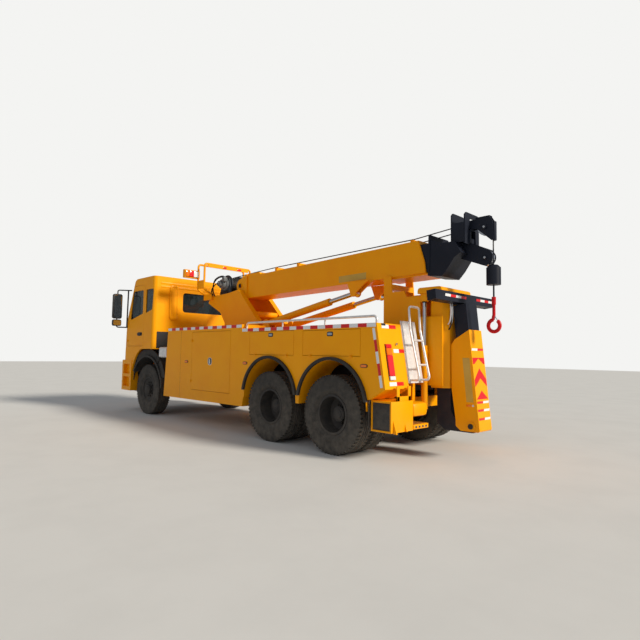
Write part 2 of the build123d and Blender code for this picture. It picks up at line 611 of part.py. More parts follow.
apron = flat_plate(
    [(APRON_X0, CAB_HALF_W), (NOSE_X - 92, CAB_HALF_W), (NOSE_X - 92, -CAB_HALF_W), (APRON_X0, -CAB_HALF_W),
     (APRON_X0, -CAB_HALF_W + 40), (NOSE_X - 132, -CAB_HALF_W + 40), (NOSE_X - 132, CAB_HALF_W - 40),
     (APRON_X0, CAB_HALF_W - 40)],
    900, CAB_FLOOR_Z, {1: 250, 2: 250, 5: 210, 6: 210},
)
apron -= box(STEP_X, NOSE_X + 50, -1500, 1500, 800, BUMPER_Z1)
arch_curve = ThreePointArc((APRON_X0, CAB_FLOOR_Z - 8), (FRONT_AXLE_X + 400, 1350), (STEP_X, 900))
arch_cut = make_face([
    arch_curve, Line((STEP_X, 900), (STEP_X, 700)), Line((STEP_X, 700), (APRON_X0, 700)),
    Line((APRON_X0, 700), (APRON_X0, CAB_FLOOR_Z - 8)),
])
apron -= extrude(Plane(origin=(0, 1500, 0), x_dir=(1, 0, 0), z_dir=(0, -1, 0)) * arch_cut, amount=3000)
parts["bumper"] = bumper + apron
headlamps = both(box(NOSE_X - 130, NOSE_X - 25, 700, 1080, 760, 940))


# Front mudguards: black bands round the steered wheels
GUARD_R0 = 700.0
GUARD_R1 = 745.0
GUARD_Y0 = 860.0
GUARD_Y1 = 1215.0
guard_start = radians(31)
guard_end = radians(160)
guard_low = ThreePointArc(
    (GUARD_R0 * cos(guard_start), GUARD_R0 * sin(guard_start)), (0, GUARD_R0),
    (GUARD_R0 * cos(guard_end), GUARD_R0 * sin(guard_end)),
)
guard_high = ThreePointArc(
    (GUARD_R1 * cos(guard_end), GUARD_R1 * sin(guard_end)), (0, GUARD_R1),
    (GUARD_R1 * cos(guard_start), GUARD_R1 * sin(guard_start)),
)
guard_face = make_face([guard_low, Line(guard_low @ 1, guard_high @ 0), guard_high, Line(guard_high @ 1, guard_low @ 0)])
guard_plane = Plane(origin=(front_x, GUARD_Y1, TYRE_R), x_dir=(1, 0, 0), z_dir=(0, -1, 0))
guard = extrude(guard_plane * guard_face, amount=GUARD_Y1 - GUARD_Y0)
guard += box(front_x - 740, front_x - 695, GUARD_Y0, GUARD_Y1, 600, TYRE_R + 270)
guard += box(front_x - 40, front_x + 40, GUARD_Y0, GUARD_Y1 - 60, TYRE_R + GUARD_R0 + 20, CAB_FLOOR_Z)
mudguards = both(guard)

# Mirrors: tube frame held off each door pillar, with a flat head
MIRROR_X = NOSE_X - 230
MIRROR_Y = 1440.0
mirror_tube = tube_run(
    [(NOSE_X - 420, CAB_HALF_W - 40, 2790), (MIRROR_X, MIRROR_Y, 2790), (MIRROR_X, MIRROR_Y, 1920),
     (NOSE_X - 360, CAB_HALF_W - 30, 1920)],
    14, 40,
)
head = box(MIRROR_X - 16, MIRROR_X + 44, MIRROR_Y - 110, MIRROR_Y + 100, 2120, 2700)
head = fillet(head.edges().filter_by(Axis.X), 45)
head_low = box(MIRROR_X - 16, MIRROR_X + 44, MIRROR_Y - 105, MIRROR_Y + 95, 1950, 2100)
head_low = fillet(head_low.edges().filter_by(Axis.X), 40)
parts["mirrors"] = both(mirror_tube + head + head_low) - cab_outer

# Tool body on each side: closed boxes with arches cut for the bogie
ARCH_SPACING = 2 * ARCH_R
body_profile = [
    (CAB_REAR_X - 630, FRONT_BOX_BOTTOM_Z), (CAB_REAR_X - 740, FRONT_BOX_TOP_Z), (BOX_STEP_X, FRONT_BOX_TOP_Z), (BOX_STEP_X, REAR_BOX_TOP_Z),
    (-800, REAR_BOX_TOP_Z), (-945, 935), (-690, 790), (-690, 640), (2010, 640), (2040, FRONT_BOX_BOTTOM_Z + 15),
]
side_body = side_plate(body_profile, BODY_IN_Y, BODY_OUT_Y)
for arch_x in (AXLES["rear"], AXLES["middle"]):
    arch = bar((arch_x, BODY_IN_Y - 5, ARCH_Z), (arch_x, BODY_OUT_Y + 5, ARCH_Z), ARCH_R)
    arch += box(arch_x - ARCH_R, arch_x + ARCH_R, BODY_IN_Y - 5, BODY_OUT_Y + 5, 200, ARCH_Z)
    side_body -= arch
side_body -= box(-900, -ARCH_R - 0.5, BODY_IN_Y - 5, BODY_OUT_Y + 5, 500, 792)

# Compartments: name, rear edge, front edge, bottom, top of the door, hinge edge
COMPARTMENTS = {
    "front": {"x0": 2415.0, "x1": 3700.0, "z0": 660.0, "z1": 1745.0, "hinge": "front"},
    "middle": {"x0": 770.0, "x1": 1870.0, "z0": 1335.0, "z1": 1710.0, "hinge": "bottom"},
    "rear": {"x0": -535.0, "x1": 575.0, "z0": 1335.0, "z1": 1700.0, "hinge": "bottom"},
}
side_body -= box(
    BOX_STEP_X + 40, CAB_REAR_X - 780, BODY_IN_Y + BODY_WALL, BODY_OUT_Y - BODY_WALL,
    FRONT_BOX_BOTTOM_Z + 60, FRONT_BOX_TOP_Z - BODY_WALL
)
for name in ("middle", "rear"):
    comp = COMPARTMENTS[name]
    side_body -= box(
        comp["x0"] - 50, comp["x1"] + 50, BODY_IN_Y + BODY_WALL, BODY_OUT_Y - BODY_WALL, 1320, REAR_BOX_TOP_Z - BODY_WALL
    )
for comp in COMPARTMENTS.values():
    side_body -= box(comp["x0"], comp["x1"], BODY_OUT_Y - BODY_WALL - 5, BODY_OUT_Y + 5, comp["z0"], comp["z1"])
for name, comp in COMPARTMENTS.items():
    leaf = box(
        comp["x0"] + DOOR_GAP, comp["x1"] - DOOR_GAP, BODY_OUT_Y - BODY_WALL, BODY_OUT_Y,
        comp["z0"] + DOOR_GAP, comp["z1"] - DOOR_GAP,
    )
    mid_x = (comp["x0"] + comp["x1"]) / 2
    latch_z = (comp["z0"] + comp["z1"]) / 2 if name == "front" else comp["z1"] - 60
    latch = Pos(mid_x, BODY_OUT_Y, latch_z) * Box(110, 24, 60)
    leaf -= latch
    leaf += box(mid_x - 40, mid_x + 40, BODY_OUT_Y - 12, BODY_OUT_Y - 3, latch_z - 14, latch_z + 14)
    upright = comp["hinge"] == "front"
    span = (comp["z0"], comp["z1"]) if upright else (comp["x0"], comp["x1"])
    for share in (0.15, 0.85):
        at = span[0] + share * (span[1] - span[0])
        if upright:
            fixed, moving = hinge((comp["x1"] - DOOR_GAP / 2, BODY_OUT_Y, at), "up")
        else:
            fixed, moving = hinge((at, BODY_OUT_Y, comp["z0"] + DOOR_GAP / 2), "along")
        side_body += fixed
        leaf += moving
    parts[f"tool_door_{name}_left"] = leaf
    parts[f"tool_door_{name}_right"] = other_side(leaf)
parts["tool_body_left"] = side_body
parts["tool_body_right"] = other_side(side_body)

# Black rubber flares round the arches and flaps behind the wheels
FLARE_W = 45.0
FLARE_OUT = 38.0
flares = None
for arch_x in (AXLES["rear"], AXLES["middle"]):
    band = bar((arch_x, BODY_OUT_Y, ARCH_Z), (arch_x, BODY_OUT_Y + FLARE_OUT, ARCH_Z), ARCH_R + 35)
    band -= bar((arch_x, BODY_OUT_Y - 5, ARCH_Z), (arch_x, BODY_OUT_Y + FLARE_OUT + 5, ARCH_Z), ARCH_R - 8)
    band -= box(arch_x - 900, arch_x + 900, BODY_OUT_Y - 5, BODY_OUT_Y + FLARE_OUT + 5, -200, ARCH_Z + 110)
    flares = band if flares is None else flares + band
flap = box(-672, -657, BODY_IN_Y, BODY_OUT_Y - 20, 440, 792)
parts["mudguards"] = mudguards + both(flares) + both(flap)

# Deck between the tool bodies: plate on two webs
deck = box(-140, SUB_X1, -BODY_IN_Y + 2, BODY_IN_Y - 2, DECK_Z, DECK_TOP)
deck += both(box(-140, SUB_X1 - 40, 430, 450, SUB_TOP, DECK_Z))
deck += box(SUB_X1 - 60, SUB_X1 - 40, -700, 700, SUB_TOP, DECK_Z)
parts["deck"] = deck

# Hand rails along the top of the rear boxes
RAIL_TUBE_R = 17.0
rail_z = REAR_BOX_TOP_Z + 95
hand_rail = tube_run(
    [(2060, 1170, REAR_BOX_TOP_Z), (2060, 1170, rail_z), (-740, 1170, rail_z), (-740, 1170, REAR_BOX_TOP_Z)],
    RAIL_TUBE_R, 50,
)
for post_x in (1130, 200):
    hand_rail += bar((post_x, 1170, REAR_BOX_TOP_Z), (post_x, 1170, rail_z), 12)
hand_rails = both(hand_rail)

# Boom stand: two overhung side plates with rear flanges, winch platform and pivot lugs
PLATFORM_Z = 2560.0
stand_profile = [
    (3930, DECK_TOP), (3930, 1980), (4100, 2200), (4590, 2430), (4420, PLATFORM_Z), (3860, PLATFORM_Z + 25),
    (3490, 2630), (2800, 1950), (2800, DECK_TOP),
]
stand_side = side_plate(stand_profile, STAND_Y - STAND_T, STAND_Y, {2: 240, 3: 30})
flange_dx, flange_dz = 2800 - 3490, 1950 - 2630
flange_len = hypot(flange_dx, flange_dz)
off_x, off_z = -flange_dz / flange_len * 14, flange_dx / flange_len * 14
stand_flange = side_plate(
    [(3490, 2630), (2800, 1950), (2800 - abs(off_x), 1950 + abs(off_z)), (3490 - abs(off_x), 2630 + abs(off_z))],
    STAND_Y - 110, STAND_Y,
)
stand = both(stand_side + stand_flange)
stand += box(3540, 4420, -STAND_Y + STAND_T, STAND_Y - STAND_T, PLATFORM_Z - 50, PLATFORM_Z - 20)
stand += box(4380, 4420, -STAND_Y + STAND_T, STAND_Y - STAND_T, PLATFORM_Z - 110, PLATFORM_Z - 20)
stand += bar((3060, -STAND_Y + STAND_T, 2130), (3060, STAND_Y - STAND_T, 2130), 55)
stand += box(2500, 3990, -STAND_Y - 130, STAND_Y + 130, DECK_TOP, DECK_TOP + 20)
stand += box(3900, 3930, -STAND_Y + STAND_T, STAND_Y - STAND_T, DECK_TOP + 20, 2300)
LUG_Y0 = 150.0
LUG_Y1 = 190.0
lug = side_plate([(3470, PLATFORM_Z - 20), (3760, PLATFORM_Z - 20), (3680, LUFF_Z), (3450, LUFF_Z)], LUG_Y0, LUG_Y1)
lug += bar((LUFF_X, LUG_Y0, LUFF_Z), (LUFF_X, LUG_Y1, LUFF_Z), 115)
lug -= bar((LUFF_X, LUG_Y0 - 5, LUFF_Z), (LUFF_X, LUG_Y1 + 5, LUFF_Z), LUFF_PIN_R + RUNNING_GAP)
stand += both(lug) + box(3470, 3560, -LUG_Y1, LUG_Y1, PLATFORM_Z - 50, PLATFORM_Z - 20)
LIFT_EAR_R = 75.0
ear_out = side_plate(
    [(LIFT_BASE_X - 130, DECK_TOP + 20), (LIFT_BASE_X + 130, DECK_TOP + 20), (LIFT_BASE_X + 70, LIFT_BASE_Z),
     (LIFT_BASE_X - 70, LIFT_BASE_Z)],
    LIFT_Y + 66, LIFT_Y + 86,
)
ear_out += bar((LIFT_BASE_X, LIFT_Y + 66, LIFT_BASE_Z), (LIFT_BASE_X, LIFT_Y + 86, LIFT_BASE_Z), LIFT_EAR_R)
ear_in = Pos(0, 2 * LIFT_Y, 0) * mirror(ear_out, about=Plane.XZ)
lift_ears = ear_out + ear_in
lift_ears -= bar((LIFT_BASE_X, 0, LIFT_BASE_Z), (LIFT_BASE_X, 600, LIFT_BASE_Z), 35 + RUNNING_GAP)
stand += both(lift_ears)
parts["boom_stand"] = stand

# Winches side by side on the platform: drums with flanges between frames, motor at each outer end
WINCH_X = 4010.0
WINCH_Z = 2790.0
DRUM_R = 120.0
FLANGE_R = 200.0
winch_base = box(WINCH_X - 235, WINCH_X + 260, -350, 350, PLATFORM_Z - 20, PLATFORM_Z + 10)
winches = winch_base
for y0, y1 in ((-330, -305), (-20, 20), (305, 330)):
    cheek_plate = side_plate(
        [(WINCH_X - 210, PLATFORM_Z + 10), (WINCH_X + 210, PLATFORM_Z + 10), (WINCH_X + 120, WINCH_Z + 130),
         (WINCH_X - 120, WINCH_Z + 130)],
        y0, y1, {2: 60, 3: 60},
    )
    winches += cheek_plate
winches += bar((WINCH_X, -345, WINCH_Z), (WINCH_X, 345, WINCH_Z), DRUM_R)
for flange_y in (-290, -35, 35, 290):
    winches += bar((WINCH_X, flange_y - 8, WINCH_Z), (WINCH_X, flange_y + 8, WINCH_Z), FLANGE_R)
parts["winches"] = winches

# Light rack: two hoops across the truck with a lamp bar, and a lamp box at each end
RACK_HALF_W = 590.0
RACK_TOP_Z = 3255.0
rack = None
for hoop_x, foot_y in ((4430, 400), (4680, 400)):
    hoop = tube_run(
        [(hoop_x - 10, foot_y, 2600), (hoop_x, RACK_HALF_W, 2710), (hoop_x, RACK_HALF_W, RACK_TOP_Z),
         (hoop_x, -RACK_HALF_W, RACK_TOP_Z), (hoop_x, -RACK_HALF_W, 2710), (hoop_x - 10, -foot_y, 2600)],
        22, 60,
    )
    rack = hoop if rack is None else rack + hoop
rack += box(4450, 4660, -RACK_HALF_W - 10, -RACK_HALF_W + 10, 2730, 2900)
rack += box(4450, 4660, RACK_HALF_W - 10, RACK_HALF_W + 10, 2730, 2900)
rack += box(4405, 4425, -520, 520, RACK_TOP_Z - 70, RACK_TOP_Z - 10)
rack += both(box(4380, 4700, STAND_Y, 430, 2490, 2615))
LAMP_BOX_Z1 = RACK_TOP_Z - 150
LAMP_BOX_Z0 = LAMP_BOX_Z1 - 170
rack += both(box(4620, 4700, RACK_HALF_W, 945, LAMP_BOX_Z0, LAMP_BOX_Z1))
parts["light_rack"] = rack
rack_lamps = both(box(4600, 4619.7, RACK_HALF_W + 30, 925, LAMP_BOX_Z0 + 20, LAMP_BOX_Z1 - 20))


# Boom: outer box with pivot ears, a slanted mouth with wear pads, and brackets for the lift rods
def along_boom(shape):
    """Tilt a piece that is drawn level so that it follows the boom's pitch."""
    return Pos(LUFF_X, 0, LUFF_Z) * Rot(0, BOOM_PITCH, 0) * Pos(-LUFF_X, 0, -LUFF_Z) * shape


inner_half_w = BOOM_HALF_W - BOOM_WALL - INNER_GAP
inner_z0 = BOOM_BOTTOM_Z + BOOM_WALL + INNER_GAP
inner_z1 = BOOM_TOP_Z - BOOM_WALL - INNER_GAP
boom_profile = [
    (BOOM_FRONT_X, BOOM_BOTTOM_Z), (BOOM_FRONT_X, BOOM_TAIL_TOP_Z), (BOOM_TAIL_X + 40, BOOM_TAIL_TOP_Z),
    (BOOM_TAIL_X, BOOM_TOP_Z), (BOOM_MOUTH_X, BOOM_MOUTH_TOP_Z), (BOOM_MOUTH_X - 101, BOOM_BOTTOM_Z + 156),
    (BOOM_MOUTH_X - 118, BOOM_BOTTOM_Z),
]
boom = side_plate(boom_profile, -BOOM_HALF_W, BOOM_HALF_W)
boom += both(side_plate(
    [(BOOM_FRONT_X - 60, BOOM_BOTTOM_Z + 8), (LUFF_X + 30, LUFF_Z - 130), (LUFF_X + 30, LUFF_Z + 130),
     (BOOM_FRONT_X - 60, BOOM_TAIL_TOP_Z)],
    BOOM_HALF_W, BOOM_HALF_W + EAR_T,
) + bar((LUFF_X, BOOM_HALF_W, LUFF_Z), (LUFF_X, BOOM_HALF_W + EAR_T, LUFF_Z), EAR_R))
boom += bar((LUFF_X, -BOOM_HALF_W - 45, LUFF_Z), (LUFF_X, BOOM_HALF_W + 45, LUFF_Z), LUFF_PIN_R)
boom += box(HEAD_X + 18, -60, -BOOM_HALF_W + 20, BOOM_HALF_W - 20, BOOM_BOTTOM_Z - 26, BOOM_BOTTOM_Z)
for guide_x in (2580, 1950, -560):
    boom += box(guide_x - 25, guide_x + 25, -150, 150, BOOM_TOP_Z - 10, BOOM_TOP_Z + 95)
boom -= box(
    BOOM_MOUTH_X - 400, BOOM_FRONT_X - 60, -inner_half_w - INNER_GAP, inner_half_w + INNER_GAP,
    inner_z0 - INNER_GAP, inner_z1 + INNER_GAP,
)
PAD_LEN = 120.0
pad_x = BOOM_MOUTH_X + 40
pad_w = inner_half_w - 40
boom += both(box(pad_x, pad_x + PAD_LEN, inner_half_w + SEAT_GAP, inner_half_w + INNER_GAP, inner_z0 + 60, inner_z1 - 60))
boom += box(pad_x, pad_x + PAD_LEN, -pad_w, pad_w, inner_z0 - INNER_GAP, inner_z0 - SEAT_GAP)
boom += box(pad_x, pad_x + PAD_LEN, -pad_w, pad_w, inner_z1 + SEAT_GAP, inner_z1 + INNER_GAP)
boom = along_boom(boom)
EYE_R = 58.0
EYE_HALF = 35.0
bracket_foot = side_plate(
    [(LIFT_EYE_X - 300, BOOM_BOTTOM_Z + 40), (LIFT_EYE_X + 130, BOOM_BOTTOM_Z + 40), (LIFT_EYE_X + 62, LIFT_EYE_Z),
     (LIFT_EYE_X - 62, LIFT_EYE_Z)],
    0, 22,
) + bar((LIFT_EYE_X, 0, LIFT_EYE_Z), (LIFT_EYE_X, 22, LIFT_EYE_Z), 64)
shelf = box(LIFT_EYE_X - 300, LIFT_EYE_X + 130, 200, LIFT_Y + EYE_HALF + 28, BOOM_BOTTOM_Z + 20, BOOM_BOTTOM_Z + 42)
brackets = Pos(0, LIFT_Y + EYE_HALF + 6, 0) * bracket_foot + Pos(0, LIFT_Y - EYE_HALF - 28, 0) * bracket_foot + shelf
boom_bottom = along_boom(box(-800, BOOM_FRONT_X, -BOOM_HALF_W, BOOM_HALF_W, BOOM_BOTTOM_Z - 30, BOOM_TOP_Z))
parts["boom"] = boom + both(brackets - boom_bottom)

# Inner boom: square tube with its own wear pads at the front end
inner = box(HEAD_X, INNER_FRONT_X, -inner_half_w, inner_half_w, inner_z0, inner_z1)
inner -= box(
    HEAD_X - 50, INNER_FRONT_X + 50, -inner_half_w + INNER_WALL, inner_half_w - INNER_WALL,
    inner_z0 + INNER_WALL, inner_z1 - INNER_WALL,
)
inner += box(INNER_FRONT_X - 150, INNER_FRONT_X, -pad_w, pad_w, inner_z1, inner_z1 + INNER_GAP - SEAT_GAP)
inner = along_boom(inner)

# Boom head: base box, two uprights over it, nose plates, rope guard and sheaves
base_profile = [(HEAD_X, 2485), (HEAD_X, 2985), (-1290, 2985), (-1290, 2900), (-1470, 2610), (-1310, 2492)]
head = both(side_plate(base_profile, HEAD_HALF_W - HEAD_PLATE, HEAD_HALF_W))
head += box(-1290, HEAD_X, -HEAD_HALF_W, HEAD_HALF_W, 2965, 2985) + box(-1310, HEAD_X, -HEAD_HALF_W, HEAD_HALF_W, 2485, 2505)
collar_hole = along_boom(box(-1000, -700, -inner_half_w + 1, inner_half_w - 1, inner_z0 + 1, inner_z1 - 1))
head += box(HEAD_X - 20, HEAD_X, -HEAD_HALF_W, HEAD_HALF_W, 2485, 2985) - collar_hole
upright_profile = [
    (-1170, 2960), (-1190, TOP_SHEAVE_Z + 20), (-1250, TOP_SHEAVE_Z + 125), (-1400, TOP_SHEAVE_Z + 125),
    (-1480, TOP_SHEAVE_Z - 20), (-1500, 2920), (-1400, 2720), (-1290, 2880),
]
upright_rounds = {2: 70, 3: 90, 4: 60}
head += both(side_plate(upright_profile, 110, 140, upright_rounds) + side_plate(upright_profile, HEAD_HALF_W - 25, HEAD_HALF_W + 5, upright_rounds))
head += both(box(-1420, -1250, 135, HEAD_HALF_W, 3050, 3075) + box(-1290, -1260, 110, HEAD_HALF_W, 2965, TOP_SHEAVE_Z - 20))
nose_plate = side_plate(
    [(-1250, 2505), (-1300, 2600), (NOSE_SHEAVE_X, NOSE_SHEAVE_Z - 118), (NOSE_SHEAVE_X, NOSE_SHEAVE_Z + 118),
     (-1480, 2960), (-1250, 2965)],
    34, 54,
)
nose_plate += bar((NOSE_SHEAVE_X, 34, NOSE_SHEAVE_Z), (NOSE_SHEAVE_X, 54, NOSE_SHEAVE_Z), 118)
head += both(nose_plate) + box(-1290, -1250, -HEAD_HALF_W + 1, HEAD_HALF_W - 1, 2505, 2965)
head += both(box(-1480, -1440, 50, 115, 2800, 2900))
guard_block = side_plate(
    [(-1440, 2935), (-1440, TOP_SHEAVE_Z - 90), (-1540, TOP_SHEAVE_Z), (-1710, TOP_SHEAVE_Z), (-1722, 2960),
     (-1700, 2915), (-1660, 2900)],
    34, 90,
)
head += both(guard_block) + box(-1730, -1700, -90, 90, 2930, TOP_SHEAVE_Z + 2)
head += bar((NOSE_SHEAVE_X, -54, NOSE_SHEAVE_Z), (NOSE_SHEAVE_X, 54, NOSE_SHEAVE_Z), SHEAVE_PIN_R)
head += bar((TOP_SHEAVE_X, -140, TOP_SHEAVE_Z), (TOP_SHEAVE_X, 140, TOP_SHEAVE_Z), SHEAVE_PIN_R)
groove_r = NOSE_SHEAVE_R - ROPE_R - SEAT_GAP
groove_half = ROPE_R + 1
rim_r = NOSE_SHEAVE_R + 8


def sheave(x, z):
    profile = [
        (SHEAVE_PIN_R, -26), (rim_r, -26), (rim_r, -20), (groove_r, -groove_half), (groove_r, groove_half),
        (rim_r, 20), (rim_r, 26), (SHEAVE_PIN_R, 26),
    ]
    return ring(profile, 0, x, z)


head += sheave(NOSE_SHEAVE_X, NOSE_SHEAVE_Z) + sheave(TOP_SHEAVE_X, TOP_SHEAVE_Z)
parts["inner_boom"] = inner + (head - inner)

# Hook: rope end, weight, swivel and hook, hanging plumb from the nose sheave
WEIGHT_R = 92.0
WEIGHT_Z0 = 2300.0
WEIGHT_Z1 = 2560.0
weight = Pos(ROPE_X, 0, (WEIGHT_Z0 + WEIGHT_Z1) / 2) * Cylinder(WEIGHT_R, WEIGHT_Z1 - WEIGHT_Z0)
weight = chamfer(weight.edges().sort_by(Axis.Z)[-1], 34)
rope_end = bar((ROPE_X, 0, WEIGHT_Z1 - 10), (ROPE_X, 0, NOSE_SHEAVE_Z), ROPE_R)
SWIVEL_Z = 2140.0
shank = bar((ROPE_X, 0, SWIVEL_Z), (ROPE_X, 0, WEIGHT_Z0), 11)
parts["hook_weight"] = weight + rope_end + shank
swivel = bar((ROPE_X, 0, 2040), (ROPE_X, 0, SWIVEL_Z), 27)
neck = bar((ROPE_X, 0, 1900), (ROPE_X, 0, 2045), 20)
hook_plane = Plane(origin=(ROPE_X, 0, HOOK_BEND_Z), x_dir=(1, 0, 0), z_dir=(0, -1, 0))
hook_curve = hook_plane * CenterArc((0, 0), HOOK_BEND_R, 80, -310)
bend = sweep(Plane(origin=hook_curve @ 0, z_dir=hook_curve % 0) * Circle(HOOK_WIRE_R), path=hook_curve)
parts["hook"] = swivel + neck + bar((ROPE_X, 0, 1905), hook_curve @ 0, 21) + bend

# Lift cylinders: barrels pinned to the stand, rods running out to the boom's brackets
lift_dx = LIFT_EYE_X - LIFT_BASE_X
lift_dz = LIFT_EYE_Z - LIFT_BASE_Z
lift_len = hypot(lift_dx, lift_dz)
lift_angle = degrees(atan2(lift_dz, -lift_dx))


def on_lift_line(shape):
    """Place a piece drawn along +X from the base pin on the line from base pin to rod eye."""
    return Pos(LIFT_BASE_X, LIFT_Y, LIFT_BASE_Z) * Rot(0, 180 + lift_angle, 0) * shape


def lengthwise(radius, start, length):
    return Pos(start + length / 2, 0, 0) * Rot(0, 90, 0) * Cylinder(radius, length)


lift_barrel = lengthwise(LIFT_BARREL_R, 70, LIFT_BARREL_LEN) - lengthwise(LIFT_ROD_R + RUNNING_GAP, 160, LIFT_BARREL_LEN)
lift_barrel += Pos(20, 0, 0) * Box(140, 80, 90)
lift_barrel += Rot(90, 0, 0) * Cylinder(60, 100) + Rot(90, 0, 0) * Cylinder(35, 180)
parts["lift_barrels"] = both(on_lift_line(lift_barrel))
ROD_START = 200.0
lift_rod = lengthwise(LIFT_ROD_R, ROD_START, lift_len - 45 - ROD_START)
lift_rod += Pos(lift_len, 0, 0) * Rot(90, 0, 0) * Cylinder(EYE_R, 2 * EYE_HALF)
lift_rod += Pos(lift_len, 0, 0) * Rot(90, 0, 0) * Cylinder(34, 2 * EYE_HALF + 12 - 2 * SEAT_GAP)
parts["lift_rods"] = both(on_lift_line(lift_rod))

# Tower that carries the mast: side plates, boom rest, rear guides with pads, and the barrels beside it
TOWER_IN_Y = MAST_HALF_W + TOWER_GAP
TOWER_OUT_Y = TOWER_IN_Y + TOWER_T
tower_side = side_plate(
    [(-150, SUB_TOP), (-150, 2530), (-280, 2530), (-300, 2290), (-520, 2290), (-560, 2200), (-800, 2200), (-800, 1900),
     (-1150, 1900), (-1150, 960), (-620, 960), (-620, SUB_TOP)],
    TOWER_IN_Y, TOWER_OUT_Y,
)
tower = both(tower_side + box(-620, -150, TOWER_IN_Y, RAIL_OUT_Y, SUB_TOP, SUB_TOP + 20))
tower += box(-300, -160, -TOWER_IN_Y, TOWER_IN_Y, 2330, 2410)
tower += box(-800, -520, -TOWER_IN_Y, TOWER_IN_Y, 2170, 2195)
tower += box(-180, -150, -TOWER_IN_Y, TOWER_IN_Y, SUB_TOP, 2200)
GUIDE_X = -930.0
tower += box(GUIDE_X, GUIDE_X + 30, -TOWER_IN_Y, TOWER_IN_Y, 960, 1880)
for pad_z in (1000, 1780):
    tower += both(box(-1120, -1020, MAST_HALF_W + SEAT_GAP, TOWER_IN_Y, pad_z, pad_z + 90))
    tower += box(MAST_X1 + SEAT_GAP, GUIDE_X, -160, 160, pad_z, pad_z + 90)
MAST_ROD_X = -905.0
MAST_BARREL_TOP = 1500.0
MAST_BARREL_BOTTOM = 640.0
MAST_ROD_BOTTOM = 1010.0
mast_barrel = bar((MAST_ROD_X, MAST_ROD_Y, MAST_BARREL_BOTTOM), (MAST_ROD_X, MAST_ROD_Y, MAST_BARREL_TOP), MAST_BARREL_R)
barrel_bore = bar((MAST_ROD_X, MAST_ROD_Y, MAST_BARREL_BOTTOM + 60), (MAST_ROD_X, MAST_ROD_Y, MAST_BARREL_TOP), MAST_ROD_R + RUNNING_GAP)
clamp = box(MAST_ROD_X - 30, MAST_ROD_X + 30, TOWER_OUT_Y, MAST_ROD_Y, 1000, 1040)
clamp += box(MAST_ROD_X - 30, MAST_ROD_X + 30, TOWER_OUT_Y, MAST_ROD_Y, 1400, 1440)
parts["mast_frame"] = tower + both(mast_barrel + clamp - barrel_bore)

# Mast column, its cap with the cylinder lugs, and the foot that carries the fold pivot
column = cross_plate(
    [(-MAST_HALF_W, MAST_Z0), (MAST_HALF_W, MAST_Z0), (MAST_HALF_W, MAST_Z1), (-MAST_HALF_W, MAST_Z1)],
    MAST_X0, MAST_X1,
)
column = chamfer(column.edges().filter_by(Axis.Z).sort_by(Axis.X)[:2], 70)
column -= box(MAST_X0 + 20, MAST_X1 - 20, -MAST_HALF_W + 72, MAST_HALF_W - 72, MAST_Z0 - 5, MAST_Z1 - 20)
cap = box(MAST_X0, MAST_X1 + 130, -MAST_ROD_Y - 45, MAST_ROD_Y + 45, MAST_Z1, MAST_Z1 + MAST_CAP_H)
cap = fillet(cap.edges().filter_by(Axis.Y).sort_by(Axis.Z)[-2:], 40)
rod_lug = box(MAST_ROD_X - 50, MAST_ROD_X + 50, MAST_ROD_Y - 30, MAST_ROD_Y + 30, MAST_Z1 - 110, MAST_Z1)
mast_rod = bar((MAST_ROD_X, MAST_ROD_Y, MAST_ROD_BOTTOM), (MAST_ROD_X, MAST_ROD_Y, MAST_Z1 - 105), MAST_ROD_R)
parts["mast_column"] = column + cap + both(rod_lug + mast_rod)
FOOT_HALF_W = ARM_HALF_W - ARM_WALL - 6
PIVOT_R = 88.0
foot = side_plate(
    [(-980, MAST_Z0), (-1190, MAST_Z0), (-1190, 640), (-1240, FOLD_Z + PIVOT_R), (FOLD_X, FOLD_Z + PIVOT_R),
     (FOLD_X, FOLD_Z - PIVOT_R), (-1100, FOLD_Z - PIVOT_R), (-980, FOLD_Z)],
    -FOOT_HALF_W, FOOT_HALF_W,
)
foot += bar((FOLD_X, -FOOT_HALF_W, FOLD_Z), (FOLD_X, FOOT_HALF_W, FOLD_Z), PIVOT_R)
foot += bar((FOLD_X, -ARM_HALF_W - 20, FOLD_Z), (FOLD_X, ARM_HALF_W + 20, FOLD_Z), FOLD_PIN_R)
parts["mast_foot"] = foot


# Folding arm: tapered box round the inner arm
def along_arm(shape):
    """Place a piece drawn with its length along +Z from the fold pivot and its rear side at -X."""
    return Pos(FOLD_X, 0, FOLD_Z) * Rot(0, ARM_LEAN, 0) * shape


arm_profile = [
    (-1475, 1712), (-1262, 1585), (-1212, 1515), (-1216, 930), (-1275, 520), (-1275, 440), (-1345, 385), (-1621, 385),
]
arm_face = outline(arm_profile, {})
arm_plane = Plane(origin=(0, ARM_HALF_W, 0), x_dir=(1, 0, 0), z_dir=(0, -1, 0))
arm = extrude(arm_plane * outline(arm_profile, {5: 30, 6: 30, 7: 30}), amount=2 * ARM_HALF_W)
inside_plane = Plane(origin=(0, ARM_HALF_W - ARM_WALL, 0), x_dir=(1, 0, 0), z_dir=(0, -1, 0))
arm -= extrude(inside_plane * offset(arm_face, amount=-ARM_WALL), amount=2 * (ARM_HALF_W - ARM_WALL))
arm_in = ARM_HALF_W - ARM_WALL
inner_v1 = ARM_REAR_V + 1 + INNER_ARM_DEPTH
arm -= along_arm(box(ARM_REAR_V, inner_v1 + 6, -arm_in, arm_in, 900, 1400))
arm -= along_arm(box(ARM_REAR_V, 400, -arm_in, arm_in, -200, 330))
arm += both(bar((FOLD_X, ARM_HALF_W, FOLD_Z), (FOLD_X, ARM_HALF_W + 14, FOLD_Z), 62))
arm -= bar((FOLD_X, -300, FOLD_Z), (FOLD_X, 300, FOLD_Z), FOLD_PIN_R + RUNNING_GAP)
arm += both(along_arm(box(-60, 60, INNER_ARM_HALF_W + SEAT_GAP, arm_in + 2, 1020, 1110)))
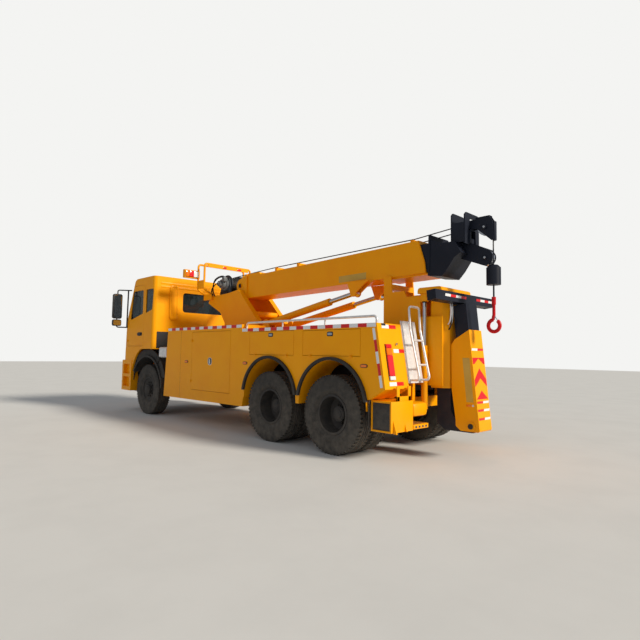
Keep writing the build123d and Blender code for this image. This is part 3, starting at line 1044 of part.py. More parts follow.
arm += along_arm(box(ARM_REAR_V - 3, ARM_REAR_V + 1 - SEAT_GAP, -90, 90, 1100, 1200))
parts["fold_arm"] = arm

inner_arm = box(ARM_REAR_V + 1, inner_v1, -INNER_ARM_HALF_W, INNER_ARM_HALF_W, INNER_ARM_LOW, INNER_ARM_TOP)
inner_arm -= box(
    ARM_REAR_V + 13, inner_v1 - 12, -INNER_ARM_HALF_W + 12, INNER_ARM_HALF_W - 12, INNER_ARM_LOW - 5, INNER_ARM_TOP - 20
)
turntable_v = CROSSBAR_V + CROSSBAR_SIDE / 2
cross_s = INNER_ARM_TOP + TURNTABLE_H
inner_arm += Pos(turntable_v, 0, INNER_ARM_TOP + TURNTABLE_H / 2) * Cylinder(62, TURNTABLE_H)
parts["inner_arm"] = along_arm(inner_arm)
crossbar = box(CROSSBAR_V, CROSSBAR_V + CROSSBAR_SIDE, -CROSSBAR_HALF_L, CROSSBAR_HALF_L, cross_s, cross_s + CROSSBAR_SIDE)
for socket_y in (-CROSSBAR_HALF_L + 70, CROSSBAR_HALF_L - 70):
    crossbar -= box(
        CROSSBAR_V + 30, CROSSBAR_V + 100, socket_y - 35, socket_y + 35, cross_s - 5, cross_s + CROSSBAR_SIDE + 5
    )
parts["crossbar"] = along_arm(crossbar)

# Rear base: cross girder with open ends, rear plate, gussets and tow eyes
BASE_X0 = -1000.0
BASE_X1 = -680.0
BASE_HALF_W = 1200.0
BASE_TOP_Z = 785.0
girder = box(BASE_X0, BASE_X1, 420, BASE_HALF_W, 400, BASE_TOP_Z)
girder -= box(BASE_X0 + 25, BASE_X1 - 25, 700, BASE_HALF_W + 5, 440, BASE_TOP_Z - 40)
base = both(girder) + box(BASE_X1 - 60, BASE_X1, -430, 430, 640, BASE_TOP_Z)
base += both(box(BASE_X1 - 20, RAIL_X0, 385, RAIL_OUT_Y, 640, RAIL_TOP) + box(-800, BASE_X1, 385, RAIL_OUT_Y, BASE_TOP_Z, SUB_TOP))
base += both(box(BASE_X0, BASE_X1, 420, BASE_HALF_W, 380, 400))
base += both(bar((BASE_X0 - 70, 520, 700), (BASE_X0 - 70, 640, 700), 110) + box(BASE_X0 - 80, BASE_X0, 520, 640, 600, 780))
parts["rear_base"] = base

# Rear panels with lamps, and the ladder on its bright sheet
def slant_x(z):
    """The slanted rear face of the tool body at height z."""
    return -800 - (REAR_BOX_TOP_Z - z) * 145 / (REAR_BOX_TOP_Z - 935)


LAMP_Z0 = 1050.0
LAMP_Z1 = 1500.0
lamp_strip = side_plate(
    [(slant_x(LAMP_Z0), LAMP_Z0), (slant_x(LAMP_Z0) - 28, LAMP_Z0), (slant_x(LAMP_Z1) - 28, LAMP_Z1), (slant_x(LAMP_Z1), LAMP_Z1)],
    1035, 1150,
)
parts["lamps"] = headlamps + rack_lamps + both(lamp_strip)
sheet = side_plate(
    [(slant_x(1000), 1000), (slant_x(1000) - 6, 1000), (slant_x(1820) - 6, 1820), (slant_x(1820), 1820)], 420, BODY_IN_Y
)
sheet_stay = box(-800, -620, 430, 470, 1000, 1200)
ladder = tube_run(
    [(slant_x(1040) - 3, 700, 1040), (slant_x(1040) - 150, 700, 1040), (slant_x(1700) - 110, 700, 1700), (-900, 700, 2010),
     (-900, 470, 2010), (slant_x(1700) - 110, 470, 1700), (slant_x(1040) - 150, 470, 1040), (slant_x(1040) - 3, 470, 1040)],
    15, 45,
)
for rung_z in (1240, 1560):
    rung_x = slant_x(rung_z) - 132
    ladder += bar((rung_x, 470, rung_z), (rung_x, 700, rung_z), 13)
parts["ladders_and_rails"] = both(sheet + ladder) + hand_rails

os.makedirs("parts", exist_ok=True)
for node, shape in parts.items():
    export_step(Pos(-MID_X, 0, 0) * shape, f"parts/{node}.step")
print(len(parts), "nodes")
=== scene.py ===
"""Heavy recovery truck with a telescopic boom and a folding underlift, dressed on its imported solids.

Places are in millimetres of the truck's own drawing, X 0 at the rearmost axle, and turned to metres once.
"""

import json
from math import copysign, cos, pi, radians, sin

import bmesh
import bpy
from mathutils import Matrix, Vector


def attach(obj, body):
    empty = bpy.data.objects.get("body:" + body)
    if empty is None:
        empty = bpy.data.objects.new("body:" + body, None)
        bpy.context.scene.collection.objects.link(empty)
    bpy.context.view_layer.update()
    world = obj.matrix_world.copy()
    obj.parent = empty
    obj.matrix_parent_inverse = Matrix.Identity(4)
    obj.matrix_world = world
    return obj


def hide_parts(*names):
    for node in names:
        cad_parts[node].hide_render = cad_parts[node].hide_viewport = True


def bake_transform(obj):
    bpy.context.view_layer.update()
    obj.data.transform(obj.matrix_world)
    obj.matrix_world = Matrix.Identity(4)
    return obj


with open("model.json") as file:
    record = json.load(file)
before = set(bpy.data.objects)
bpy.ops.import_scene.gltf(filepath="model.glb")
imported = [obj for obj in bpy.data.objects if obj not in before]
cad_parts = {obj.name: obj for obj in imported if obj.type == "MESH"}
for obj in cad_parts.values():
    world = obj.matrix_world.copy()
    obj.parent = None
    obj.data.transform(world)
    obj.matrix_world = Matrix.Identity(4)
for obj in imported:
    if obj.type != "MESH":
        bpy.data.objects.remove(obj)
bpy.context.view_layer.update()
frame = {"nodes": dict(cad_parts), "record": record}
NODES = frame["nodes"]

# The drawing's X of the middle of the whole truck
MID_X = 2608.0

# Main stations of the drawing, as in the solids
AXLE_X = {"rear": 0.0, "middle": 1350.0, "front": 5700.0}
TYRE_R = 540.0
TYRE_HALF_W = 146.0
FRONT_TYRE_Y = 1020.0
TWIN_TYRES_Y = (765.0, 1095.0)
BODY_OUT_Y = 1250.0
CAB_HALF_W = 1225.0
BOOM_HALF_W = 235.0
ARM_HALF_W = 165.0

# Pivots, drums and sheaves, as X and Z
LUFF_PIVOT = (3570.0, 2730.0)
FOLD_PIVOT = (-1500.0, 455.0)
WINCH = (4010.0, 2790.0)
TOP_SHEAVE = (-1642.0, 3080.0)
NOSE_SHEAVE = (-1650.0, 2667.0)
ROPE_R = 9.0

SIDES = (("left", 1), ("right", -1))


def at(x, y, z):
    """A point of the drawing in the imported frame, in metres."""
    return Vector(((x - MID_X) / 1000, y / 1000, z / 1000))


def colour(code):
    """An sRGB hex value as a linear colour."""
    parts = [int(code[i:i + 2], 16) / 255 for i in (1, 3, 5)]
    return [p / 12.92 if p <= 0.04045 else ((p + 0.055) / 1.055) ** 2.4 for p in parts] + [1.0]


def add_node(tree, kind, inputs=None, **settings):
    """Adds one node with its settings, and values or links for its sockets."""
    made = tree.nodes.new(kind)
    for name, value in settings.items():
        setattr(made, name, value)
    for name, value in (inputs or {}).items():
        if isinstance(value, bpy.types.NodeSocket):
            tree.links.new(value, made.inputs[name])
        else:
            made.inputs[name].default_value = value
    return made


def new_object(name, data):
    """An object of the scene with that data."""
    made = bpy.data.objects.new(name, data)
    bpy.context.scene.collection.objects.link(made)
    return made


def new_finish(name, **settings):
    """A material with its even values on the one shader, and the coordinates of its object."""
    finish = bpy.data.materials.new(name)
    finish.use_nodes = True
    tree = finish.node_tree
    shader = tree.nodes["Principled BSDF"]
    for socket, value in settings.items():
        shader.inputs[socket.replace("_", " ")].default_value = value
    place = add_node(tree, "ShaderNodeTexCoord").outputs["Object"]
    return finish, tree, shader, place


def drifted(tree, place, base, drift, size_mm, share=1.0):
    """A base colour that wanders towards a second one in patches of a real size."""
    patches = add_node(
        tree, "ShaderNodeTexNoise",
        {"Vector": place, "Scale": 1000 / size_mm, "Detail": 4.0, "Roughness": 0.6},
    )
    amount = add_node(
        tree, "ShaderNodeMapRange",
        {"Value": patches.outputs["Fac"], "From Min": 0.42, "From Max": 0.66, "To Max": share},
    )
    mix = add_node(
        tree, "ShaderNodeMix",
        {0: amount.outputs["Result"], 6: colour(base), 7: colour(drift)}, data_type="RGBA",
    )
    return mix.outputs[2]


def dusted_and_shaded(tree, place, base, dust_and_shade_tone, clean_z, dirty_z, share):
    """A darker tone that thickens from clean_z down to dirty_z, broken up by patches: road dust on most
    finishes, and painted shade on the orange-yellow enamel.
    """
    split = add_node(tree, "ShaderNodeSeparateXYZ", {"Vector": place})
    height = add_node(
        tree, "ShaderNodeMapRange",
        {"Value": split.outputs["Z"], "From Min": clean_z, "From Max": dirty_z, "To Max": share},
    )
    spots = add_node(
        tree, "ShaderNodeTexNoise", {"Vector": place, "Scale": 9.0, "Detail": 6.0, "Roughness": 0.7},
    )
    spread = add_node(
        tree, "ShaderNodeMapRange",
        {"Value": spots.outputs["Fac"], "From Min": 0.35, "From Max": 0.7, "To Min": 0.25},
    )
    amount = add_node(
        tree, "ShaderNodeMath", {0: height.outputs["Result"], 1: spread.outputs["Result"]},
        operation="MULTIPLY",
    )
    mix = add_node(tree, "ShaderNodeMix", {0: amount.outputs[0], 6: base, 7: colour(dust_and_shade_tone)}, data_type="RGBA")
    return mix.outputs[2], amount.outputs[0]


def surfaced(tree, shader, pattern, gain, base, tone=None, depth_mm=0.0, strength=1.0):
    """Roughness that follows a pattern from base by gain, with a tone and a relief where given."""
    matt = add_node(tree, "ShaderNodeMath", {0: pattern, 1: gain, 2: base}, operation="MULTIPLY_ADD")
    tree.links.new(matt.outputs[0], shader.inputs["Roughness"])
    if tone:
        tree.links.new(tone, shader.inputs["Base Color"])
    if depth_mm:
        bump = add_node(
            tree, "ShaderNodeBump", {"Height": pattern, "Distance": depth_mm / 1000, "Strength": strength},
        )
        tree.links.new(bump.outputs["Normal"], shader.inputs["Normal"])


def grained(tree, shader, place, size_mm, gain, base, tone, depth_mm, strength=1.0):
    """A fine grain of a real size and depth, in roughness and relief, under a tone."""
    grain = add_node(
        tree, "ShaderNodeTexNoise",
        {"Vector": place, "Scale": 1000 / size_mm, "Detail": 3.0, "Roughness": 0.55},
    )
    surfaced(tree, shader, grain.outputs["Fac"], gain, base, tone, depth_mm, strength)


def sprayed_enamel(name, base, drift, dust_and_shade_tone, rough, peel_mm=9.0, dust_share=0.3, dirty_z=0.35, clean_z=1.35):
    """Sprayed enamel on sheet steel: orange peel, patches a shade apart and a darker tone low down, which is
    dust on most colours and painted shade on the orange-yellow.
    """
    finish, tree, shader, place = new_finish(
        "enamel_sprayed_" + name, Coat_Weight=0.04, Coat_Roughness=0.15, Specular_IOR_Level=0.17,
    )
    tone = drifted(tree, place, base, drift, 420, 0.55)
    tone, amount = dusted_and_shaded(tree, place, tone, dust_and_shade_tone, clean_z, dirty_z, dust_share)
    dull = add_node(tree, "ShaderNodeMath", {0: amount, 1: 0.6, 2: rough - 0.06}, operation="MULTIPLY_ADD")
    grained(tree, shader, place, peel_mm, 0.12, dull.outputs[0], tone, 0.12, 0.6)
    return finish


# Orange-yellow enamel of cab, tool bodies and boom: warm and glossy, with painted shade low down that turns
# it a deeper orange below the door handles
yellow_enamel = sprayed_enamel("orange_yellow", "#F9A600", "#F59C00", "#A8741C", 0.36, dust_share=0.12)
# Chassis enamel: satin black with brown road dust all the way up
chassis_enamel = sprayed_enamel("chassis_black", "#232325", "#2C2B2A", "#6B6257", 0.55, 14.0, 0.5, 0.2, 1.2)
# Blue-black enamel of the boom head, inner arm and mast foot: semi-gloss
head_enamel = sprayed_enamel("blue_black", "#1B1F2A", "#232733", "#6B6257", 0.42, 9.0, 0.2)
# Red enamel of the hook, a little darker in patches
red_enamel = sprayed_enamel("signal_red", "#C8161D", "#9E1016", "#6B5A50", 0.38)
# Dark grey enamel of rims: dull from dust thrown up by the tyres
rim_enamel = sprayed_enamel("rim_grey", "#2E2F31", "#38383A", "#7A7063", 0.6, 12.0, 0.55, 0.1, 1.1)
# Winch castings and their motors: machine enamel, dark and mid grey
winch_enamel = sprayed_enamel("machine_grey", "#3C4147", "#4A5057", "#7A7063", 0.5)
motor_enamel = sprayed_enamel("motor_grey", "#6E7376", "#5E6366", "#7A7063", 0.42)

# Engine and gearbox: cast iron, unpainted, rough from the sand mould
iron_cast, tree, shader, place = new_finish("iron_sand_cast", Metallic=0.6)
grained(tree, shader, place, 12, 0.3, 0.5, drifted(tree, place, "#4A4B4C", "#5B5048", 120), 0.6)

# Aluminium of ladder tubes, sheet and rails: brushed lengthwise, bright with faint streaks
aluminium, tree, shader, place = new_finish("aluminium_brushed", Metallic=0.35)
stretch = add_node(tree, "ShaderNodeMapping", {"Vector": place, "Scale": (40.0, 400.0, 12.0)})
streaks = add_node(tree, "ShaderNodeTexNoise", {"Vector": stretch.outputs[0], "Scale": 1.0, "Detail": 3.0})
tone = drifted(tree, place, "#E6E7E8", "#D2D4D6", 90)
surfaced(tree, shader, streaks.outputs["Fac"], 0.25, 0.25, tone, 0.1, 0.5)

# Piston rods: hard chrome, ground round, so bright with fine rings across the rod
chrome_rod, tree, shader, place = new_finish("chrome_ground", Metallic=1.0, Base_Color=colour("#D3D6DA"))
rings = add_node(tree, "ShaderNodeTexNoise", {"Vector": place, "Scale": 120.0, "Detail": 2.0})
surfaced(tree, shader, rings.outputs["Fac"], 0.14, 0.08)


def moulded(name, base, drift, rough, grain_mm, depth_mm, dust_share=0.25, **settings):
    """Moulded plastic or rubber with an even grain and a little dust low down."""
    finish, tree, shader, place = new_finish(name, **settings)
    tone = drifted(tree, place, base, drift, 160, 0.6)
    tone = dusted_and_shaded(tree, place, tone, "#80776A", 1.5, 0.1, dust_share)[0]
    grained(tree, shader, place, grain_mm, 0.15, rough - 0.07, tone, depth_mm)
    return finish


# ABS of grille, mirrors and dashboard: moulded with a leather-like grain, nearly matt
abs_plastic = moulded("abs_moulded_black", "#222325", "#2A2B2D", 0.5, 5, 0.15)
# Mudguards and arch edges: moulded rubber, matt
guard_rubber = moulded("rubber_moulded_mudguard", "#1C1C1D", "#262524", 0.75, 8, 0.2, 0.45)
# Tyre rubber: vulcanised in a mould, matt black with brown dust in the lower half
tyre_rubber = moulded("rubber_vulcanised_tyre", "#1E1E1F", "#2A2826", 0.85, 7, 0.25, 0.6)
# Lamp lenses: polycarbonate, moulded with flutes, clear, amber and red
LENS = {"rough": 0.18, "grain_mm": 30, "depth_mm": 0.4, "dust_share": 0.1, "Coat_Weight": 0.6}
lens_clear = moulded("polycarbonate_moulded_clear", "#E9EBEC", "#DDE0E2", **LENS)
lens_amber = moulded("polycarbonate_moulded_amber", "#F27A0C", "#E36B06", **LENS)
lens_red = moulded("polycarbonate_moulded_red", "#E3202A", "#CF1720", **LENS)
# Bare name places: printed film a shade paler than the paint under it
plate_film = moulded("vinyl_film_pale_yellow", "#C9A646", "#BE9A3A", 0.45, 40, 0.05, 0.1)

# Cab glass: tempered, grey-green tint, polished, with a faint film that dulls it in patches
cab_pane, tree, shader, place = new_finish("glass_tempered_tinted", Transmission_Weight=0.92, IOR=1.5)
film = add_node(tree, "ShaderNodeTexNoise", {"Vector": place, "Scale": 6.0, "Detail": 5.0})
tone = drifted(tree, place, "#5F6A6A", "#566061", 300)
surfaced(tree, shader, film.outputs["Fac"], 0.08, 0.0, tone)

# Mirror glass: silvered at the back, so a plain bright reflection
silvered, tree, shader, place = new_finish("glass_silvered_mirror", Metallic=1.0)
film = add_node(tree, "ShaderNodeTexNoise", {"Vector": place, "Scale": 20.0, "Detail": 4.0})
tone = drifted(tree, place, "#D9DDDF", "#C8CDD0", 200)
surfaced(tree, shader, film.outputs["Fac"], 0.1, 0.02, tone)


def reflex_tape(name, base, drift):
    """Reflective tape: printed film over prism cells, drawn at 12 mm because real 3 mm cells don't show."""
    finish, tree, shader, place = new_finish(name, Coat_Weight=0.1, Coat_Roughness=0.2)
    cells = add_node(
        tree, "ShaderNodeTexVoronoi", {"Vector": place, "Scale": 83.0}, feature="DISTANCE_TO_EDGE",
    )
    edge = add_node(
        tree, "ShaderNodeMapRange",
        {"Value": cells.outputs["Distance"], "From Max": 0.08, "To Min": 0.35, "To Max": 0.0},
    ).outputs["Result"]
    mix = add_node(tree, "ShaderNodeMix", {0: edge, 6: colour(base), 7: colour(drift)}, data_type="RGBA")
    surfaced(tree, shader, edge, 0.4, 0.28, mix.outputs[2])
    return finish


tape_red = reflex_tape("tape_prismatic_red", "#D9141C", "#B50F16")
tape_white = reflex_tape("tape_prismatic_white", "#E8E9EA", "#C9CCCE")

# Wire rope: drawn steel wires laid in strands about 60 mm long, dark with grease
wire_rope, tree, shader, place = new_finish("steel_wire_laid_greased", Metallic=0.7)
lay = add_node(
    tree, "ShaderNodeTexWave", {"Vector": place, "Scale": 35.0, "Distortion": 1.0, "Detail": 1.0},
    bands_direction="DIAGONAL",
).outputs["Fac"]
mix = add_node(tree, "ShaderNodeMix", {0: lay, 6: colour("#2C2B2A"), 7: colour("#5A5855")}, data_type="RGBA")
surfaced(tree, shader, lay, 0.2, 0.4, mix.outputs[2], 1.0, 0.8)

# Seat cloth: woven polyester, threads drawn at 4 mm because real 1 mm threads don't show
seat_cloth, tree, shader, place = new_finish("polyester_woven_grey", Sheen_Weight=0.3)
warp = add_node(tree, "ShaderNodeTexWave", {"Vector": place, "Scale": 60.0}, bands_direction="Y")
weft = add_node(tree, "ShaderNodeTexWave", {"Vector": place, "Scale": 60.0}, bands_direction="X")
weave = add_node(
    tree, "ShaderNodeMath", {0: warp.outputs["Fac"], 1: weft.outputs["Fac"]}, operation="MULTIPLY",
).outputs[0]
mix = add_node(
    tree, "ShaderNodeMix", {0: weave, 6: colour("#3B3D40"), 7: colour("#5A5D61")}, data_type="RGBA",
)
surfaced(tree, shader, weave, -0.1, 0.9, mix.outputs[2], 0.6, 0.6)

SLOT_FINISH = {
    "yellow_paint": yellow_enamel, "chassis_black": chassis_enamel, "engine_grey": iron_cast,
    "light_grey": aluminium, "glass": cab_pane, "dark_plastic": abs_plastic, "lamp_lens": lens_red,
    "black_rubber": guard_rubber, "tyre": tyre_rubber, "rim_paint": rim_enamel, "silver_paint": aluminium,
    "winch_grey": winch_enamel, "head_black": head_enamel, "red_paint": red_enamel, "chrome": chrome_rod,
}
for subpart in frame["record"]["subparts"]:
    solid = NODES[subpart["node"]]
    finish = SLOT_FINISH[subpart["material_slot"]]
    if not solid.material_slots:
        solid.data.materials.append(finish)
    for entry in solid.material_slots:
        entry.material = finish
# The cross bar is black, as the head is
for entry in NODES["crossbar"].material_slots:
    entry.material = head_enamel


def round_loop(centre, side, up, radius, steps):
    """Points round a centre in the plane of side and up."""
    angles = [2 * pi * step / steps for step in range(steps)]
    return [centre + side * (radius * cos(angle)) + up * (radius * sin(angle)) for angle in angles]


class Piece:
    """A mesh drawn in the drawing's millimetres, that rides on one body when it is done."""

    def __init__(self, name, body, *finishes):
        self.name = name
        self.body = body
        self.finishes = finishes
        self.mesh = bmesh.new()

    def _place(self, verts, finish):
        """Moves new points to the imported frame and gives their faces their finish."""
        for vert in verts:
            vert.co = at(*vert.co)
            for face in vert.link_faces:
                face.material_index = finish

    def block(self, x0, x1, y0, y1, z0, z1, finish=0, edge=0.0):
        """A block with its edges rounded by edge; its two Y values come in any order."""
        y0, y1 = sorted((y0, y1))
        size = Matrix.Diagonal((x1 - x0, y1 - y0, z1 - z0)).to_4x4()
        middle = Vector((x0 + x1, y0 + y1, z0 + z1)) / 2
        verts = bmesh.ops.create_cube(self.mesh, size=1.0, matrix=size)["verts"]
        if edge:
            edges = {e for vert in verts for e in vert.link_edges}
            rounded = bmesh.ops.bevel(
                self.mesh, geom=list(edges), offset=edge, segments=2, profile=0.5, affect="EDGES",
                clamp_overlap=True,
            )
            verts = {v for face in rounded["faces"] for v in face.verts} | {v for v in verts if v.is_valid}
        for vert in verts:
            vert.co += middle
        self._place(verts, finish)

    def skin(self, loops, finish=0, ring=False):
        """A skin over matching loops of points, its ends closed by faces or joined as a ring."""
        rows = [[self.mesh.verts.new(point) for point in loop] for loop in loops]
        pairs = list(zip(rows, rows[1:]))
        if ring:
            pairs.append((rows[-1], rows[0]))
        else:
            self.mesh.faces.new(rows[0])
            self.mesh.faces.new(rows[-1])
        for low, high in pairs:
            for i in range(len(low)):
                j = (i + 1) % len(low)
                self.mesh.faces.new((low[i], low[j], high[j], high[i]))
        self._place([vert for row in rows for vert in row], finish)

    def plate(self, outline, a, b, finish=0, axis="y"):
        """A flat outline, in X and Z or in Y and Z, pushed from a to b along Y or X."""
        if axis == "x":
            loops = [[(depth, y, z) for y, z in outline] for depth in (a, b)]
        else:
            loops = [[(x, depth, z) for x, z in outline] for depth in (a, b)]
        self.skin(loops, finish)

    def turned(self, profile, centre, axis="y", steps=48, finish=0, sign=1):
        """A closed profile of (radius, offset) points spun round an X or Y axis, its offsets times sign."""
        rings = []
        for step in range(steps):
            angle = 2 * pi * step / steps
            ring = []
            for radius, offset in profile:
                u, v = radius * cos(angle), radius * sin(angle)
                local = (offset, u, v) if axis == "x" else (u, sign * offset, v)
                ring.append(Vector(centre) + Vector(local))
            rings.append(ring)
        self.skin(rings, finish, ring=True)

    def rod(self, start, end, radius, finish=0, steps=16):
        """A round bar between two points, with a small chamfer at each end."""
        a, b = Vector(start), Vector(end)
        along = (b - a).normalized()
        side = along.orthogonal().normalized()
        up = along.cross(side)
        cut = radius * 0.15
        stations = ((a, cut), (a + along * cut, 0), (b - along * cut, 0), (b, cut))
        self.skin([round_loop(spot, side, up, radius - less, steps) for spot, less in stations], finish)

    def take_mesh(self, other, matrix=Matrix(), finish=0):
        """Adds a finished mesh that is already in metres."""
        copy = other.copy()
        copy.transform(matrix)
        before = len(self.mesh.faces)
        self.mesh.from_mesh(copy)
        bpy.data.meshes.remove(copy)
        self.mesh.faces.ensure_lookup_table()
        for face in self.mesh.faces[before:]:
            face.material_index = finish

    def done(self, smooth=35.0, doubles=True, ride=True):
        """Merges, turns the faces outward and puts the piece on its body."""
        if doubles:
            bmesh.ops.remove_doubles(self.mesh, verts=self.mesh.verts[:], dist=0.00002)
        bmesh.ops.recalc_face_normals(self.mesh, faces=self.mesh.faces[:])
        data = bpy.data.meshes.new(self.name)
        self.mesh.to_mesh(data)
        self.mesh.free()
        for finish in self.finishes:
            data.materials.append(finish)
        data.shade_smooth()
        data.set_sharp_from_angle(angle=radians(smooth))
        piece = new_object(self.name, data)
        if ride:
            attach(piece, self.body)
        return piece


def grow(tree_name, sockets, build, values):
    """The plain mesh of a node tree that build draws; values go in by socket identifier."""
    tree = bpy.data.node_groups.get(tree_name)
    if tree is None:
        tree = bpy.data.node_groups.new(tree_name, "GeometryNodeTree")
        for label, kind in sockets.items():
            tree.interface.new_socket(label, in_out="INPUT", socket_type="NodeSocket" + kind)
        tree.interface.new_socket("Geometry", in_out="OUTPUT", socket_type="NodeSocketGeometry")
        given = add_node(tree, "NodeGroupInput").outputs
        real = add_node(tree, "GeometryNodeRealizeInstances", {"Geometry": build(tree, given)})
        finished = add_node(
            tree, "GeometryNodeSetMaterial", {"Geometry": real.outputs[0], "Material": given["Finish"]},
        )
        add_node(tree, "NodeGroupOutput", {"Geometry": finished.outputs[0]})
    empty = bpy.data.meshes.new(tree_name + "_seed")
    carrier = new_object(tree_name + "_carrier", empty)
    modifier = carrier.modifiers.new("nodes", "NODES")
    modifier.node_group = tree
    for item in tree.interface.items_tree:
        if item.in_out == "INPUT":
            modifier[item.identifier] = values[item.name]
    view = bpy.context.evaluated_depsgraph_get()
    plain = bpy.data.meshes.new_from_object(carrier.evaluated_get(view))
    carrier.modifiers.remove(modifier)
    bpy.data.objects.remove(carrier)
    bpy.data.meshes.remove(empty)
    return plain


RING_SOCKETS = {"Count": "Int", "Ring Radius": "Float", "Size": "Vector", "Finish": "Material"}


def draw_lug_ring(tree, given):
    """Blocks round a circle, each with its X side outward."""
    circle = add_node(
        tree, "GeometryNodeMeshCircle", {"Vertices": given["Count"], "Radius": given["Ring Radius"]},
    )
    block = add_node(tree, "GeometryNodeMeshCube", {"Size": given["Size"]})
    spot = add_node(tree, "GeometryNodeInputPosition")
    facing = add_node(tree, "FunctionNodeAlignEulerToVector", {"Vector": spot.outputs[0]}, axis="X")
    return add_node(
        tree, "GeometryNodeInstanceOnPoints",
        {"Points": circle.outputs[0], "Instance": block.outputs["Mesh"], "Rotation": facing.outputs[0]},
    ).outputs[0]


def draw_nut_ring(tree, given):
    """Nuts with a stud end round a circle; Size gives nut radius, stud radius and height."""
    circle = add_node(
        tree, "GeometryNodeMeshCircle", {"Vertices": given["Count"], "Radius": given["Ring Radius"]},
    )
    size = add_node(tree, "ShaderNodeSeparateXYZ", {"Vector": given["Size"]}).outputs
    nut = add_node(tree, "GeometryNodeMeshCylinder", {"Vertices": 6, "Radius": size["X"], "Depth": size["Z"]})
    stud = add_node(
        tree, "GeometryNodeMeshCylinder", {"Vertices": 10, "Radius": size["Y"], "Depth": size["Z"]},
    )
    raised = add_node(
        tree, "GeometryNodeTransform", {"Geometry": stud.outputs["Mesh"], "Translation": (0.0, 0.0, 0.012)},
    )
    joined = add_node(tree, "GeometryNodeJoinGeometry")
    tree.links.new(nut.outputs["Mesh"], joined.inputs[0])
    tree.links.new(raised.outputs[0], joined.inputs[0])
    return add_node(
        tree, "GeometryNodeInstanceOnPoints", {"Points": circle.outputs[0], "Instance": joined.outputs[0]},
    ).outputs[0]


ROW_SOCKETS = {
    "Count": "Int", "Start": "Vector", "Step": "Vector", "Size": "Vector", "Turn": "Vector",
    "Finish": "Material",
}


def draw_row(tree, given):
    """Blocks in a straight row, all turned alike."""
    line = add_node(
        tree, "GeometryNodeMeshLine",
        {"Count": given["Count"], "Start Location": given["Start"], "Offset": given["Step"]},
    )
    block = add_node(tree, "GeometryNodeMeshCube", {"Size": given["Size"]})
    return add_node(
        tree, "GeometryNodeInstanceOnPoints",
        {"Points": line.outputs[0], "Instance": block.outputs["Mesh"], "Rotation": given["Turn"]},
    ).outputs[0]


COIL_SOCKETS = {
    "Turns": "Float", "Coil Radius": "Float", "Width": "Float", "Rope Radius": "Float", "Finish": "Material",
}


def draw_coil(tree, given):
    """Rope wound side by side on a drum, its axis along Z."""
    path = add_node(
        tree, "GeometryNodeCurveSpiral",
        {"Resolution": 28, "Rotations": given["Turns"], "Start Radius": given["Coil Radius"],
         "End Radius": given["Coil Radius"], "Height": given["Width"]},
    )
    section = add_node(
        tree, "GeometryNodeCurvePrimitiveCircle", {"Resolution": 8, "Radius": given["Rope Radius"]},
    )
    return add_node(
        tree, "GeometryNodeCurveToMesh",
        {"Curve": path.outputs[0], "Profile Curve": section.outputs[0], "Fill Caps": True},
    ).outputs[0]


ALONG_Y = Matrix.Rotation(radians(-90), 4, "X")

# Tyres: a turned carcass with grooves, and lugs on both shoulders; the section gives radius and inset
TYRE_SECTION = (
    (256, 39), (279, 39), (288, 26), (302, 18), (306, 14), (330, 6), (334, 3), (372, 1), (376, 3), (404, 1),
    (436, 0), (452, 1), (474, 4), (494, 8), (512, 12), (524, 18), (526, 62), (539, 66), (540, 100),
    (527, 104), (527, 114), (540, 118), (540, 138), (528, 141),
)
half_section = [(radius, inset - TYRE_HALF_W) for radius, inset in TYRE_SECTION]
tyre_profile = half_section + [(radius, -offset) for radius, offset in reversed(half_section)]
TYRES = {
    "front": {"stations": (FRONT_TYRE_Y,), "node": "tyre_front_{side}", "body": "wheel_front_{side}"},
    "middle": {"stations": TWIN_TYRES_Y, "node": "tyres_middle_{side}", "body": "wheels_middle_{side}"},
    "rear": {"stations": TWIN_TYRES_Y, "node": "tyres_rear_{side}", "body": "wheels_rear_{side}"},
}
LUG_COUNT = 58
LUG_OFFSET = 107.0
lugs = grow(
    "shoulder_lugs", RING_SOCKETS, draw_lug_ring,
    {"Count": LUG_COUNT, "Ring Radius": 0.5295, "Size": (0.019, 0.034, 0.052), "Finish": tyre_rubber},
)
for axle, wheel in TYRES.items():
    for side, sign in SIDES:
        piece = Piece("treads_" + axle + "_" + side, wheel["body"].format(side=side), tyre_rubber)
        for station in wheel["stations"]:
            piece.turned(tyre_profile, (AXLE_X[axle], sign * station, TYRE_R), "y", 96)
            for offset, turn in ((-LUG_OFFSET, 0.0), (LUG_OFFSET, pi / LUG_COUNT)):
                middle = Matrix.Translation(at(AXLE_X[axle], sign * station + offset, TYRE_R))
                piece.take_mesh(lugs, middle @ ALONG_Y @ Matrix.Rotation(turn, 4, "Z"))
        made = piece.done(32.0, doubles=False)
        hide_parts(wheel["node"].format(side=side))

# Wheel nuts and hub caps: Y of the nuts' seat and the cap's, and the cap's section off its seat
WHEEL_SEATS = {"front": (1107.0, 1155.0), "middle": (957.0, 1080.0), "rear": (957.0, 1080.0)}
HUB_CAP = ((0.5, -6), (96, -6), (96, 2), (88, 10), (70, 13), (66, 22), (40, 30), (0.5, 31))
nuts = grow(
    "wheel_nuts", RING_SOCKETS, draw_nut_ring,
    {"Count": 10, "Ring Radius": 0.150, "Size": (0.0185, 0.011, 0.026), "Finish": rim_enamel},
)
for axle, wheel in TYRES.items():
    nut_y, hub_y = WHEEL_SEATS[axle]
    for side, sign in SIDES:
        piece = Piece("wheel_nuts_" + axle + "_" + side, wheel["body"].format(side=side), rim_enamel)
        turn = Matrix.Rotation(radians(-90 * sign), 4, "X")
        piece.take_mesh(nuts, Matrix.Translation(at(AXLE_X[axle], sign * nut_y, TYRE_R)) @ turn)
        piece.turned(HUB_CAP, (AXLE_X[axle], sign * hub_y, TYRE_R), "y", 36, sign=sign)
        piece.done()

# Red and white tape: lengths of about 150 mm that alternate
TAPE_LEN = 150.0
TAPE_T = 1.6


